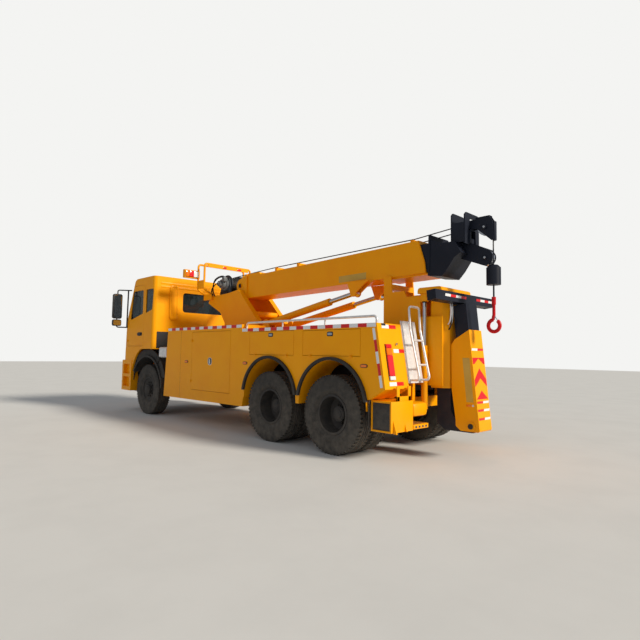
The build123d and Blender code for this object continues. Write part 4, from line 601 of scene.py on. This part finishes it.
def tape(name, body, start, end, width, normal, first="white", count=None):
    """Alternating tape from start to end on a face with that normal; its width runs across it."""
    run, up = Vector(end) - Vector(start), Vector(normal).normalized()
    count = count or max(2, round(run.length / TAPE_LEN))
    step = run / count
    across = run.normalized().cross(up).normalized()
    turn = Matrix((run.normalized(), across, up)).transposed().to_euler()
    piece = Piece(name, body, tape_red, tape_white)
    for index, tint in enumerate(("red", "white")):
        offset = 0 if tint == first else 1
        row_start = Vector(start) + step * (offset + 0.5) + up * (TAPE_T / 2)
        row = grow(
            "tape_row", ROW_SOCKETS, draw_row,
            {"Count": len(range(offset, count, 2)), "Start": at(*row_start), "Step": step * 2 / 1000,
             "Size": (step.length / 1000, width / 1000, TAPE_T / 1000), "Turn": turn,
             "Finish": piece.finishes[index]},
        )
        piece.take_mesh(row, finish=index)
    piece.done(30.0, doubles=False)


# The tool body's slanted rear face, by its upper end and its run down to the lower one
SLANT_TOP = (-800.0, 1768.0)
SLANT_RUN = (-145.0, 833.0)


def slant_x(z):
    """X of the tool body's slanted rear face at height z."""
    return SLANT_TOP[0] + (SLANT_TOP[1] - z) * SLANT_RUN[0] / SLANT_RUN[1]


REAR_TAPES = (("top", 1727, 1160, 867), ("middle", 1416, 979, 755), ("low", 998, 1149, 857))
for side, sign in SIDES:
    y = sign * BODY_OUT_Y
    tape("tape_front_box_" + side, "chassis", (4655, y, 1812), (2100, y, 1812), 50, (0, sign, 0))
    tape("tape_rear_box_" + side, "chassis", (2080, y, 1742), (-790, y, 1742), 50, (0, sign, 0))
    for name, z, outer_y, inner_y in REAR_TAPES:
        ends = [(slant_x(z) - 1, sign * end_y, z) for end_y in (outer_y, inner_y)]
        tape("tape_rear_" + name + "_" + side, "chassis", *ends, 48, (-1, 0, -0.174), count=2)
    tape("tape_side_end_" + side, "chassis", (-751, y, 1701), (-888, y, 954), 42, (0, sign, 0), count=5)

# The folded inner arm leans back; the tape of its cross bar lies either side of the hook
ARM_LEAN = radians(6.3)
BAR_OUT = -31.0
BAR_UP = 1695.0
bar_x = FOLD_PIVOT[0] + BAR_OUT * cos(ARM_LEAN) + BAR_UP * sin(ARM_LEAN)
bar_z = FOLD_PIVOT[1] - BAR_OUT * sin(ARM_LEAN) + BAR_UP * cos(ARM_LEAN)
bar_normal = (-cos(ARM_LEAN), 0, sin(ARM_LEAN))
for side, y0, y1, first in (("left", 530, 0, "white"), ("right", -280, -748, "red")):
    ends = [(bar_x, y, bar_z) for y in (y0, y1)]
    tape("tape_cross_bar_" + side, "inner_arm", *ends, 52, bar_normal, first, 4)

# Short tapes and arrow signs on the arm's rear face
ARM_TOP = (-1475.0, 1712.0)
ARM_SLOPE = 0.11


def arm_x(z):
    """X of the arm's rear face at height z."""
    return ARM_TOP[0] - (ARM_TOP[1] - z) * ARM_SLOPE


ARM_TAPES = (("top", 1445, "white"), ("upper", 757, "red"), ("middle", 655, "red"), ("low", 545, "red"))
for name, z, first in ARM_TAPES:
    ends = [(arm_x(z), y, z) for y in (150, -150)]
    tape("tape_arm_" + name, "fold_arm", *ends, 46, (-1, 0, ARM_SLOPE), first, 2)
ARROWS = (
    ((155, 1345), (-155, 1345), (-155, 1262), (-118, 1262), (-10, 1330), (10, 1330), (118, 1262),
     (155, 1262)),
    ((0, 1205), (-155, 1060), (-155, 965), (0, 1075), (155, 965), (155, 1060)),
    ((0, 915), (-150, 805), (150, 805)),
)
arrows = Piece("arm_arrows", "fold_arm", tape_red)
for arrow in ARROWS:
    arrows.skin([[(arm_x(z) - depth, y, z) for y, z in arrow] for depth in (0.3, TAPE_T)])
arrows.done(30.0)

BOOM_PITCH = radians(0.8)


def boom_at(x, z):
    """X and Z of a point of the level boom, moved to its slight pitch about the luff pivot."""
    dx, dz = x - LUFF_PIVOT[0], z - LUFF_PIVOT[1]
    return (
        LUFF_PIVOT[0] + dx * cos(BOOM_PITCH) + dz * sin(BOOM_PITCH),
        LUFF_PIVOT[1] - dx * sin(BOOM_PITCH) + dz * cos(BOOM_PITCH),
    )


def on_boom(x, y, z):
    """A point of the level boom, with its Y kept, moved to the same pitch."""
    pitched_x, pitched_z = boom_at(x, z)
    return pitched_x, y, pitched_z


def oval(centre, half_u, half_v, power, steps=40):
    """Points of an oval, squarer with a higher power."""
    points = []
    for step in range(steps):
        u, v = cos(2 * pi * step / steps), sin(2 * pi * step / steps)
        points.append((
            centre[0] + half_u * copysign(abs(u) ** (2 / power), u),
            centre[1] + half_v * copysign(abs(v) ** (2 / power), v),
        ))
    return points


def tube(piece, points, radius, finish=0, steps=10, cuts=3):
    """A bent tube through points, its corners smoothed by cutting them so many times."""
    path = [Vector(p) for p in points]
    for _ in range(cuts):
        smoother = [path[0]]
        for a, b in zip(path, path[1:]):
            smoother += [a.lerp(b, 0.25), a.lerp(b, 0.75)]
        path = smoother + [path[-1]]
    loops = []
    side = (path[1] - path[0]).orthogonal().normalized()
    for index, spot in enumerate(path):
        ahead = path[min(index + 1, len(path) - 1)]
        behind = path[max(index - 1, 0)]
        along = (ahead - behind).normalized()
        side = (side - along * side.dot(along)).normalized()
        loops.append(round_loop(spot, side, along.cross(side), radius, steps))
    piece.skin(loops, finish)


def side_plates(name, body, finish, outline, inner_y, outer_y):
    """The same flat plate on both sides of a body."""
    piece = Piece(name, body, finish)
    for sign in (1, -1):
        piece.plate(outline, sign * inner_y, sign * outer_y)
    piece.done()


def pin_ends(name, body, profile, pivot, y):
    """A turned end on each side of a pivot's pin."""
    pins = Piece(name, body, chassis_enamel)
    for sign in (1, -1):
        pins.turned(profile, (pivot[0], sign * y, pivot[1]), "y", 32, sign=sign)
    pins.done()


def off_slant(*points):
    """Points given by their depth behind the slanted rear face and their height."""
    return [(slant_x(z) - depth, z) for depth, z in points]


# Lamps: rear strips in four parts, rack lamps in three colours, two-bowl headlamps behind a clear lens
LAMP_Z = 850
REAR_LENSES = ((1452, 1500, 2), (1363, 1449, 1), (1100, 1360, 2), (1050, 1097, 3))
RACK_LENSES = ((845, 925, 1), (745, 841, 2), (625, 741, 3))
BOWL = ((20, 6966), (60, 6978), (80, 7006), (84, 7006), (84, 6960), (20, 6960))
BULB = ((0.5, 6960), (19, 6960), (19, 6980), (0.5, 6990))
lamps = Piece("lamp_lenses", "chassis", abs_plastic, lens_amber, lens_red, lens_clear, chrome_rod)
for sign in (1, -1):
    strip = off_slant((0, 1050), (9, 1050), (9, 1500), (0, 1500))
    lamps.plate(strip, sign * 1035, sign * 1150)
    for z0, z1, finish in REAR_LENSES:
        lens = off_slant((9, z0), (22, z0), (27, z0 + 6), (27, z1 - 6), (22, z1), (9, z1))
        lamps.plate(lens, sign * 1041, sign * 1144, finish)
    lamps.block(4613, 4620, sign * 621, sign * 929, 2951, 3089, 0, 2)
    for y0, y1, finish in RACK_LENSES:
        lamps.block(4600, 4613, sign * y0, sign * y1, 2958, 3082, finish, 4)
    lamps.block(6931, 6960, sign * 702, sign * 1078, 762, 938, 0, 6)
    for bowl_y in (800, 978):
        lamps.turned(BOWL, (0, sign * bowl_y, LAMP_Z), "x", 36, 4)
        lamps.turned(BULB, (0, sign * bowl_y, LAMP_Z), "x", 24, 3)
    lamps.block(7012, 7034, sign * 704, sign * 1076, 764, 936, 3, 8)
made = lamps.done(30.0, doubles=False)
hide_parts("lamps")

# Marker lamps along the sides, on the rack and on the arm
markers = Piece("side_markers", "chassis", lens_amber, abs_plastic, lens_red)
for sign in (1, -1):
    for x, z in ((3886, 1181), (1979, 1196), (-599, 1217)):
        markers.plate(oval((x, z), 62, 24, 3), sign * BODY_OUT_Y, sign * (BODY_OUT_Y + 6), 1)
        markers.plate(oval((x, z), 50, 17, 3), sign * (BODY_OUT_Y + 6), sign * (BODY_OUT_Y + 12), 0)
for y0, y1 in ((60, 150), (-330, -220)):
    markers.block(4400, 4405, y0, y1, 3196, 3236, 2, 2)
markers.block(-812, -800, 1082, 1160, 1738, 1766, 1, 3)
markers.done()
markers = Piece("arm_markers", "fold_arm", lens_amber, lens_clear)
for sign in (1, -1):
    y = sign * ARM_HALF_W
    markers.block(-1500, -1430, y, y + sign * 6, 708, 734, 0, 2)
    markers.turned([(0.5, 0), (13, 0), (13, 8), (0.5, 10)], (-1530, y, 722), "y", 20, 1, sign)
markers.done()

# Bare name places on boom and arm
boom_place = [boom_at(x, z) for x, z in ((245, 2500), (830, 2500), (830, 2605), (245, 2605))]
side_plates("boom_name_places", "boom", plate_film, boom_place, BOOM_HALF_W + 0.2, BOOM_HALF_W + 1.4)
arm_place = [(-1380, 1340), (-1480, 1340), (-1535, 765), (-1435, 765)]
side_plates("arm_name_places", "fold_arm", plate_film, arm_place, ARM_HALF_W + 0.2, ARM_HALF_W + 1.4)

# Latches: a round paddle on the tall door, flush paddles on the flap doors, oval pulls on the cab doors.
# A layer has its half sizes, squareness, both distances off the wall, and finish
ROUND_PADDLE = ((66, 68, 2.6, 0, 3, 0), (54, 56, 2.6, 3, 4, 1), (26, 46, 3, 4, 9, 0))
FLUSH_PADDLE = ((58, 32, 5, 0, 2, 1), (44, 17, 4, 2, 7, 0))
OVAL_PULL = ((118, 40, 3.5, 0, 5, 0), (90, 14, 4, 5, 24, 0))
BRIGHT = (chrome_rod, abs_plastic)
HANDLES = (
    ("latch_front_", "tool_door_front_", BODY_OUT_Y, (3057, 1202), ROUND_PADDLE, BRIGHT),
    ("latch_middle_", "tool_door_middle_", BODY_OUT_Y, (1320, 1650), FLUSH_PADDLE, BRIGHT),
    ("latch_rear_", "tool_door_rear_", BODY_OUT_Y, (20, 1640), FLUSH_PADDLE, BRIGHT),
    ("cab_pull_", "cab_door_", CAB_HALF_W, (6050, 1752), OVAL_PULL, (abs_plastic,)),
)
for side, sign in SIDES:
    for name, door, wall_y, centre, layers, finishes in HANDLES:
        handle = Piece(name + side, door + side, *finishes)
        for half_u, half_v, power, near, far, finish in layers:
            outline = oval(centre, half_u, half_v, power)
            handle.plate(outline, sign * (wall_y + near), sign * (wall_y + far), finish)
        handle.done()

# Locks on the rear panels, and the ends of two pivot pins
LOCK_Z = 1506
lock_x = slant_x(LOCK_Z)
locks = Piece("rear_panel_locks", "chassis", chrome_rod)
for sign in (1, -1):
    locks.rod((lock_x, sign * 916, LOCK_Z), (lock_x - 26, sign * 916, LOCK_Z), 17)
    locks.rod((lock_x - 26, sign * 916, LOCK_Z), (lock_x - 32, sign * 916, LOCK_Z), 11)
locks.done()
pin_ends("luff_pin_ends", "boom", ((0.5, 0), (43, 0), (43, 3), (38, 6), (0.5, 6)), LUFF_PIVOT, 280)
pin_ends("fold_pin_ends", "mast", ((0.5, 0), (36, 0), (36, 5), (30, 8), (0.5, 8)), FOLD_PIVOT, 185)

# Mirrors: glass on the rear of each head, and the inner bar that closes the bent tube
glass = Piece("mirror_glass", "chassis", silvered)
bars = Piece("mirror_inner_bars", "chassis", abs_plastic)
for sign in (1, -1):
    for z0, z1 in ((2138, 2682), (1966, 2084)):
        glass.plate(oval((sign * 1435, (z0 + z1) / 2), 88, (z1 - z0) / 2, 5), 6810.5, 6814, axis="x")
    bars.rod((6698, sign * 1243, 2788), (6722, sign * 1241, 1925), 16)
glass.done()
bars.done()

# Winches: rope wound in two layers on each drum, and a geared motor at each outer end
COIL_PITCH = 19.0
DRUM_Y = 162.0
for side, sign in SIDES:
    piece = Piece("winch_rope_" + side, "chassis", wire_rope)
    for turns, coil_r in ((12.0, 129.0), (11.0, 146.0)):
        width = turns * COIL_PITCH
        coil = grow(
            "rope_coil", COIL_SOCKETS, draw_coil,
            {"Turns": turns, "Coil Radius": coil_r / 1000, "Width": width / 1000,
             "Rope Radius": ROPE_R / 1000, "Finish": wire_rope},
        )
        start = at(WINCH[0], sign * DRUM_Y - width / 2, WINCH[1])
        piece.take_mesh(coil, Matrix.Translation(start) @ ALONG_Y)
    piece.done(50.0, doubles=False)
MOTOR = (
    (0.5, 332), (128, 332), (128, 350), (118, 356), (118, 372), (96, 378), (96, 440), (88, 448), (60, 452),
    (60, 500), (54, 508), (0.5, 508),
)
BOLT_RING_R = 108
motors = Piece("winch_motors", "chassis", motor_enamel, chassis_enamel, chrome_rod)
for sign in (1, -1):
    motors.turned(MOTOR, (WINCH[0], 0, WINCH[1]), sign=sign)
    for angle in range(0, 360, 45):
        bolt_x = WINCH[0] + BOLT_RING_R * cos(radians(angle))
        bolt_z = WINCH[1] + BOLT_RING_R * sin(radians(angle))
        motors.rod((bolt_x, sign * 354, bolt_z), (bolt_x, sign * 366, bolt_z), 9, 2, 6)
    motors.block(3860, 3950, sign * 392, sign * 470, 2830, 2918, 0, 8)
    motors.block(3890, 4140, sign * 352, sign * 380, 2575, 2640, 1, 4)
motors.done()
PIPE_RUNS = (
    ((3905, 420, 2905), (3925, 430, 2950), (4080, 450, 2955), (4250, 470, 2880), (4330, 440, 2690),
     (4320, 400, 2560)),
    ((3905, 450, 2905), (3920, 470, 2930), (4070, 490, 2915), (4215, 500, 2820), (4290, 470, 2660),
     (4285, 410, 2560)),
    ((4010, 500, 2790), (4010, 545, 2790), (4120, 550, 2740), (4260, 520, 2660), (4330, 440, 2560)),
)
pipes = Piece("winch_pipes", "chassis", chassis_enamel, chrome_rod)
for sign in (1, -1):
    for run in PIPE_RUNS:
        tube(pipes, [(x, sign * y, z) for x, y, z in run], 12)
        x, y, z = run[0]
        pipes.rod((x, sign * y, z - 14), (x, sign * y, z + 26), 17, 1, 6)
pipes.done(50.0)

# Pulling ropes: from each drum over the boom's guides; the outer length slides in as the boom runs out
ROPE_Y = 120
ROPE_Z = 3006
LEAD_Z = 2946
for side, sign in SIDES:
    y = sign * ROPE_Y
    guide, turn = on_boom(2580, y, ROPE_Z), on_boom(-590, y, ROPE_Z)
    lead = Piece("rope_lead_" + side, "chassis", wire_rope)
    half_way = (3300, sign * 132, (LEAD_Z + guide[2]) / 2 + 4)
    tube(lead, [(WINCH[0], sign * 150, LEAD_Z), half_way, guide], ROPE_R, 0, 8, 2)
    led = lead.done(50.0, ride=False)
    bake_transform(led)
    fixed = Piece("rope_on_boom_" + side, "boom", wire_rope)
    fixed.rod(guide, on_boom(-560, y, ROPE_Z), ROPE_R, 0, 8)
    fixed.done(50.0)
    outer = Piece("rope_to_head_" + side, "inner_boom", wire_rope)
    outer.rod(on_boom(2060, y, ROPE_Z), turn, ROPE_R - 0.6, 0, 8)
    outer.rod(turn, (-1206, y, 3120), ROPE_R - 0.6, 0, 8)
    outer.done(50.0)

# Inner boom with its head: box, base, two cross plates, nose plates, sheaves and a guard over the top one
FALL_X = -1742
head = Piece("inner_boom_and_head", "inner_boom", head_enamel, wire_rope, chassis_enamel, chrome_rod)
box = ((-215, 2482), (215, 2482), (215, 2882), (-215, 2882))
head.skin([[on_boom(x, y, z) for y, z in box] for x in (-900, 2895)])
base = [
    (-885, 2480), (-900, 2997), (-1125, 2913), (-1300, 2910), (-1400, 2750), (-1300, 2690), (-1200, 2550),
    (-1109, 2452),
]
head.plate(base, -232, 232)
rim = [boom_at(x, z) for x, z in ((-880, 2470), (-905, 2990), (-935, 2990), (-915, 2470))]
head.plate(rim, -240, 240)
upright = [(-170, 2900), (170, 2900), (170, 3285), (135, 3320), (-135, 3320), (-170, 3285)]
head.plate(upright, -1232, -1212, axis="x")
nose = [(-1250, 2890), (-1250, 2715), (-1613, 2569)]
for step in range(1, 24):
    angle = radians(-69.4 - 173.2 * step / 24)
    nose.append((NOSE_SHEAVE[0] + 105 * cos(angle), NOSE_SHEAVE[1] + 105 * sin(angle)))
nose += [(-1704, 2771), (-1450, 2890)]
cheek = [
    (-1227, 3200), (-1712, 3212), (-1756, 3140), (-1764, 2890), (-1735, 2890), (-1520, 3080), (-1227, 3060),
]
half_plate = [(60, 2870), (190, 2870), (190, 3265), (155, 3300), (60, 3300)]
for sign in (1, -1):
    head.turned([(0.5, -1211), (30, -1211), (34, -1209), (0.5, -1209)], (0, sign * ROPE_Y, 3120), "x", 24, 2)
    head.plate([(sign * y, z) for y, z in half_plate], -1440, -1420, axis="x")
    head.block(-1421, -1231, sign * 150, sign * 170, 2900, 3170, 0, 3)
    head.block(-1460, -1440, sign * 60, sign * 90, 2890, 3080, 0, 2)
    head.plate(nose, sign * 34, sign * 54)
    head.plate(cheek, sign * 28, sign * 40)
    for x, z in (TOP_SHEAVE, NOSE_SHEAVE):
        head.rod((x, sign * 50, z), (x, sign * 66, z), 34, 0, 20)
        head.rod((x, sign * 66, z), (x, sign * 74, z), 17, 3, 6)
head.block(-1440, -1420, -61, 61, 2870, 2960)
head.block(-1440, -1420, -61, 61, 3230, 3300)
head.block(-1461, -1440, -90, 90, 3060, 3080, 0, 2)
head.block(-1712, -1510, -40, 40, 3210, 3230, 0, 4)
head.block(-1778, -1756, -29, 29, 2890, 3142, 0, 4)
for (x, z), edge_r in ((TOP_SHEAVE, 108), (NOSE_SHEAVE, 100)):
    half_wheel = [(23, -26), (edge_r, -26), (edge_r, -20), (edge_r - 17, -9)]
    wheel = half_wheel + [(radius, -offset) for radius, offset in reversed(half_wheel)]
    head.turned(wheel, (x, 0, z), "y", 48, 3)
    head.rod((x, -62, z), (x, 62, z), 25, 0, 20)
head.rod((FALL_X, 0, 2669), (FALL_X, 0, 3080), ROPE_R, 1, 8)
head.rod((TOP_SHEAVE[0], 0, 3181), (-1232, 0, 3150), ROPE_R, 1, 8)
made = head.done(35.0, doubles=False)
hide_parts("inner_boom")

# Rear base: girder ends, a rounded housing with a slotted step below it, and a bracket on top, on each side
# The black block set just inside each girder's open end is painted shade in the hollow of the box, not a
# part.
REAR_BLOCKS = [
    (-1000, -978, 740, 1200, 400, 785, 0, 3), (-702, -680, 740, 1200, 400, 785, 0, 3),
    (-978, -702, 740, 1200, 400, 422, 0, 2), (-978, -702, 740, 1200, 763, 785, 0, 2),
    (-978, -702, 740, 762, 422, 763), (-977, -703, 1130, 1192, 423, 762, 1, 3),
    (-1010, -680, 402, 738, 565, 750, 0, 55), (-1010, -680, 402, 738, 410, 470, 0, 8),
    (-704, -680, 402, 738, 410, 570), (-1000, -982, 790, 845, 785, 970, 0, 3),
    (-1000, -982, 1025, 1080, 785, 970, 0, 3), (-1000, -982, 790, 1080, 785, 845, 0, 3),
    (-680, -600, 387, 470, 640, 1060), (-800, -680, 407, 470, 750, 1200),
]
# The slots are thin black sheets on the step's top and rear faces: painted shade where the holes would look
# dark.
for slot_y in range(440, 740, 75):
    REAR_BLOCKS.append((-985, -720, slot_y, slot_y + 40, 470, 470.8, 1))
    REAR_BLOCKS.append((-1010.8, -1010, slot_y, slot_y + 40, 425, 452, 1))
rear = Piece("rear_base_frame", "chassis", yellow_enamel, guard_rubber)
for sign in (1, -1):
    for x0, x1, y0, y1, *rest in REAR_BLOCKS:
        rear.block(x0, x1, sign * y0, sign * y1, *rest)
    rear.plate([(-1000, 402), (-1000, 560), (-1054, 392), (-1010, 392)], sign * 1140, sign * 1160)
    rear.plate([(-1000, 402), (-1000, 500), (-1030, 402)], sign * 900, sign * 916)
rear.block(-740, -680, -402, 402, 640, 785, 0, 3)
made = rear.done(30.0, doubles=False)
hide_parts("rear_base")

# Inner flange of the front mudguards, from 14 to 160 degrees, kept clear of bumper, apron and air intake
FLANGE_STEPS = 40
FLANGE_INNER_R = 700
inner_arc, outer_arc = [], []
for step in range(FLANGE_STEPS + 1):
    turn = 14 + 146 * step / FLANGE_STEPS
    along, up = cos(radians(turn)), sin(radians(turn))
    reach = min(880.0, 862.0 / up)
    if along > 0.05:
        reach = min(reach, 680.0 / along)
    if turn > 124:
        reach = min(reach, 690.0 / up)
    for arc, radius in ((inner_arc, FLANGE_INNER_R), (outer_arc, max(reach, FLANGE_INNER_R + 12))):
        arc.append((AXLE_X["front"] + radius * along, TYRE_R + radius * up))
flange = Piece("mudguard_flanges", "chassis", guard_rubber)
for sign in (1, -1):
    for k in range(FLANGE_STEPS):
        quad = [inner_arc[k], inner_arc[k + 1], outer_arc[k + 1], outer_arc[k]]
        flange.plate(quad, sign * 1166, sign * 1180)
flange.done(30.0)

# Air duct and raised beads on the cab's back wall; each row of the duct has its X and inset
CAB_BACK_X = 5401
DUCT_ROWS = ((CAB_BACK_X, 0), (5378, 0), (5372, 10), (5372, 38), (5387, 52))
duct = Piece("cab_back_duct", "chassis", yellow_enamel)
duct.skin([[(x, y, z) for y, z in oval((760, 2460), 110 - inset, 390 - inset, 5)] for x, inset in DUCT_ROWS])
for z in (2855, 2775):
    duct.block(5392, CAB_BACK_X, -1080, 1080, z, z + 40, 0, 3)
duct.done(30.0)

# Mast: the column, its cap and cylinder lugs in yellow, with ground rods beside it and pipes behind it
CAP_Z = 2215
MAST_ROD = (-905, 340)
mast = Piece("mast_column_and_rods", "mast", yellow_enamel, chassis_enamel, aluminium, chrome_rod)
neck = [(-1130, -178), (-970, -178), (-970, 178), (-1130, 178), (-1180, 176), (-1180, -176)]
column = [(-1130, -250), (-950, -250), (-950, 250), (-1130, 250), (-1200, 180), (-1200, -180)]
column_rows = ((neck, 2195), (neck, 930), (column, 930), (column, CAP_Z))
mast.skin([[(x, y, z) for x, y in outline] for outline, z in column_rows])
cap = [(-1200, CAP_Z), (-820, CAP_Z)]
for corner_x, first_turn in ((-860, 0), (-1160, 90)):
    for turn in range(first_turn, first_turn + 91, 15):
        cap.append((corner_x + 40 * cos(radians(turn)), CAP_Z + 40 + 40 * sin(radians(turn))))
mast.plate(cap, -385, 385)
for sign in (1, -1):
    rod_x, rod_y = MAST_ROD[0], sign * MAST_ROD[1]
    mast.block(-955, -855, sign * 310, sign * 370, 2105, 2216, 0, 3)
    mast.rod((rod_x, rod_y, 1010), (rod_x, rod_y, 2106), 26, 3, 32)
    mast.rod((rod_x, rod_y, 2090), (rod_x, rod_y, 2106), 36, 1, 24)
for y, top, foot, finish in ((196, 2150, 1760, 2), (216, 2140, 1720, 1), (234, 2120, 1790, 2)):
    middle = (-1256, y + 4, (top + foot) / 2)
    run = [(-1196, y - 30, top), (-1244, y, top - 30), middle, (-1240, y, foot + 40), (-1196, y - 20, foot)]
    tube(mast, run, 9, finish, 8)
made = mast.done(40.0)
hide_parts("mast_column")

# Spring latch across the hook's mouth
latch = Piece("hook_latch", "hook", chrome_rod)
latch.rod((-1764, 0, 1872), (-1796, 0, 1826), 6, 0, 8)
latch.rod((-1758, -9, 1876), (-1758, 9, 1876), 9, 0, 10)
latch.done()

# Seats: crowned cushions of woven cloth over the plain forms in the cab
PAD_ROWS = 15


def cushion(piece, centre, half, lean):
    """A stuffed block with crowned faces, by half its length, width and thickness, turned about Y by lean."""
    loops = []
    for row in range(PAD_ROWS):
        t = -1 + 2 * row / (PAD_ROWS - 1)
        lift = copysign(abs(t) ** 0.6, t)
        reach = max((1 - abs(lift) ** 6) ** (1 / 6), 0.55)
        crown = 1.1 if reach < 0.6 else 1.0
        flat = oval((0, 0), half[0] * reach, half[1] * reach, 7.0, 56)
        turn = Matrix.Rotation(lean, 3, "Y")
        loops.append([Vector(centre) + turn @ Vector((x, y, half[2] * lift * crown)) for x, y in flat])
    piece.skin(loops)


for side, sign in SIDES:
    for name, x, z, half, lean in (
        ("seat_cushion_", 6025, 1757, (284, 268, 78), 0.0),
        ("seat_back_", 5771, 2112, (348, 262, 84), radians(81)),
        ("seat_headrest_", 5686, 2512, (104, 148, 60), radians(86)),
    ):
        pad = Piece(name + side, "chassis", seat_cloth)
        cushion(pad, (x, sign * 620, z), half, lean)
        soft = pad.done(60.0)

# Wipers on the windscreen, the bar under the bumper and the seam of the tool body
wipers = Piece("wipers", "chassis", abs_plastic)
for foot_y in (-620, 100, 760):
    wipers.rod((6950, foot_y, 2160), (6818, foot_y - 330, 2500), 7, 0, 8)
    wipers.rod((6888, foot_y - 210, 2260), (6798, foot_y - 370, 2610), 5, 0, 6)
wipers.done()
under = Piece("bar_under_bumper", "chassis", chassis_enamel)
under.block(6790, 6990, -880, 880, 418, 469, 0, 6)
under.done()
seams = Piece("tool_body_seams", "chassis", chassis_enamel)
for sign in (1, -1):
    seams.block(4118, 4121, sign * BODY_OUT_Y, sign * (BODY_OUT_Y + 0.6), 480, 1785)
seams.done()

# Rubber guards on the lower corners of the cab's back, and the crease low on the cab's side
guards = Piece("cab_back_guards", "chassis", guard_rubber)
creases = Piece("cab_creases", "chassis", yellow_enamel)
for side, sign in SIDES:
    y = sign * (CAB_HALF_W - 1)
    guards.block(5386, CAB_BACK_X, sign * 720, sign * 1140, 1440, 1800, 0, 5)
    creases.rod((5460, y, 1586.5), (5852, y, 1544.8), 6, 0, 10)
    creases.rod((6540, y, 1471.6), (6640, y, 1461), 6, 0, 10)
    door_crease = Piece("door_crease_" + side, "cab_door_" + side, yellow_enamel)
    door_crease.rod((5870, y, 1542.9), (6330, y, 1494), 6, 0, 10)
    door_crease.done()
guards.done()
creases.done()

# A raised band round the boom's mouth
mouth = [boom_at(x, z) for x, z in ((-622, 2464), (-622, 2934), (-728, 2938), (-826, 2618), (-846, 2464))]
side_plates("boom_mouth_band", "boom", yellow_enamel, mouth, BOOM_HALF_W + 0.2, BOOM_HALF_W + 8)

# Soft studio light, with a brighter backdrop that only the camera and glass see
world = bpy.data.worlds.new("studio")
bpy.context.scene.world = world
world.use_nodes = True
tree = world.node_tree
plain = tree.nodes["Background"]
plain.inputs["Color"].default_value = colour("#E6EAF0")
plain.inputs["Strength"].default_value = 0.33
bright = add_node(tree, "ShaderNodeBackground", {"Color": colour("#F4F4F2"), "Strength": 1.0})
ray = add_node(tree, "ShaderNodeLightPath").outputs
seen = add_node(
    tree, "ShaderNodeMath", {0: ray["Is Camera Ray"], 1: ray["Is Transmission Ray"]}, operation="MAXIMUM",
)
choose = add_node(
    tree, "ShaderNodeMixShader", {0: seen.outputs[0], 1: plain.outputs[0], 2: bright.outputs[0]},
)
tree.links.new(choose.outputs[0], tree.nodes["World Output"].inputs["Surface"])

# Pale floor
FLOOR_HALF = 60.0
floor_mesh = bpy.data.meshes.new("studio_floor")
corners = [(x * FLOOR_HALF, y * FLOOR_HALF, 0) for x, y in ((-1, -1), (1, -1), (1, 1), (-1, 1))]
floor_mesh.from_pydata(corners, [], [(0, 1, 2, 3)])
floor = new_object("studio_floor", floor_mesh)
floor_finish, tree, shader, place = new_finish("floor_pale", Roughness=0.9)
tree.links.new(drifted(tree, place, "#DADAD7", "#D6D6D3", 900), shader.inputs["Base Color"])
floor.data.materials.append(floor_finish)


def sun(name, towards, strength, spread, tint):
    """A soft sun that shines along towards."""
    lamp = bpy.data.lights.new(name, "SUN")
    lamp.energy = strength
    lamp.angle = radians(spread)
    lamp.color = colour(tint)[:3]
    new_object(name, lamp).rotation_euler = Vector(towards).to_track_quat("-Z", "Y").to_euler()


# Key from behind on the right, and a weak fill on the side that the camera sees
sun("key_rear_right", (0.85, 0.25, -0.47), 3.7, 12.0, "#FFF6E8")
sun("fill_left", (0.25, -0.85, -0.45), 0.3, 60.0, "#F2F5FF")

# Camera at the photograph's place: lens for a square frame on a 36 mm sensor
CAMERA_AT = (-7.3643, 6.1137, 1.3536)
YAW = radians(45.66285)
PITCH = radians(4.0)
ROLL = radians(0.9)
lens = bpy.data.cameras.new("photo_camera")
lens.sensor_width = 36.0
lens.sensor_fit = "HORIZONTAL"
lens.lens = 27.84
lens.clip_end = 300.0
camera = new_object("photo_camera", lens)
tilt = Matrix.Rotation(pi / 2 + PITCH, 4, "X") @ Matrix.Rotation(ROLL, 4, "Z")
camera.matrix_world = Matrix.Translation(CAMERA_AT) @ Matrix.Rotation(pi + YAW, 4, "Z") @ tilt
bpy.context.scene.camera = camera
bpy.context.scene.view_settings.view_transform = "Standard"
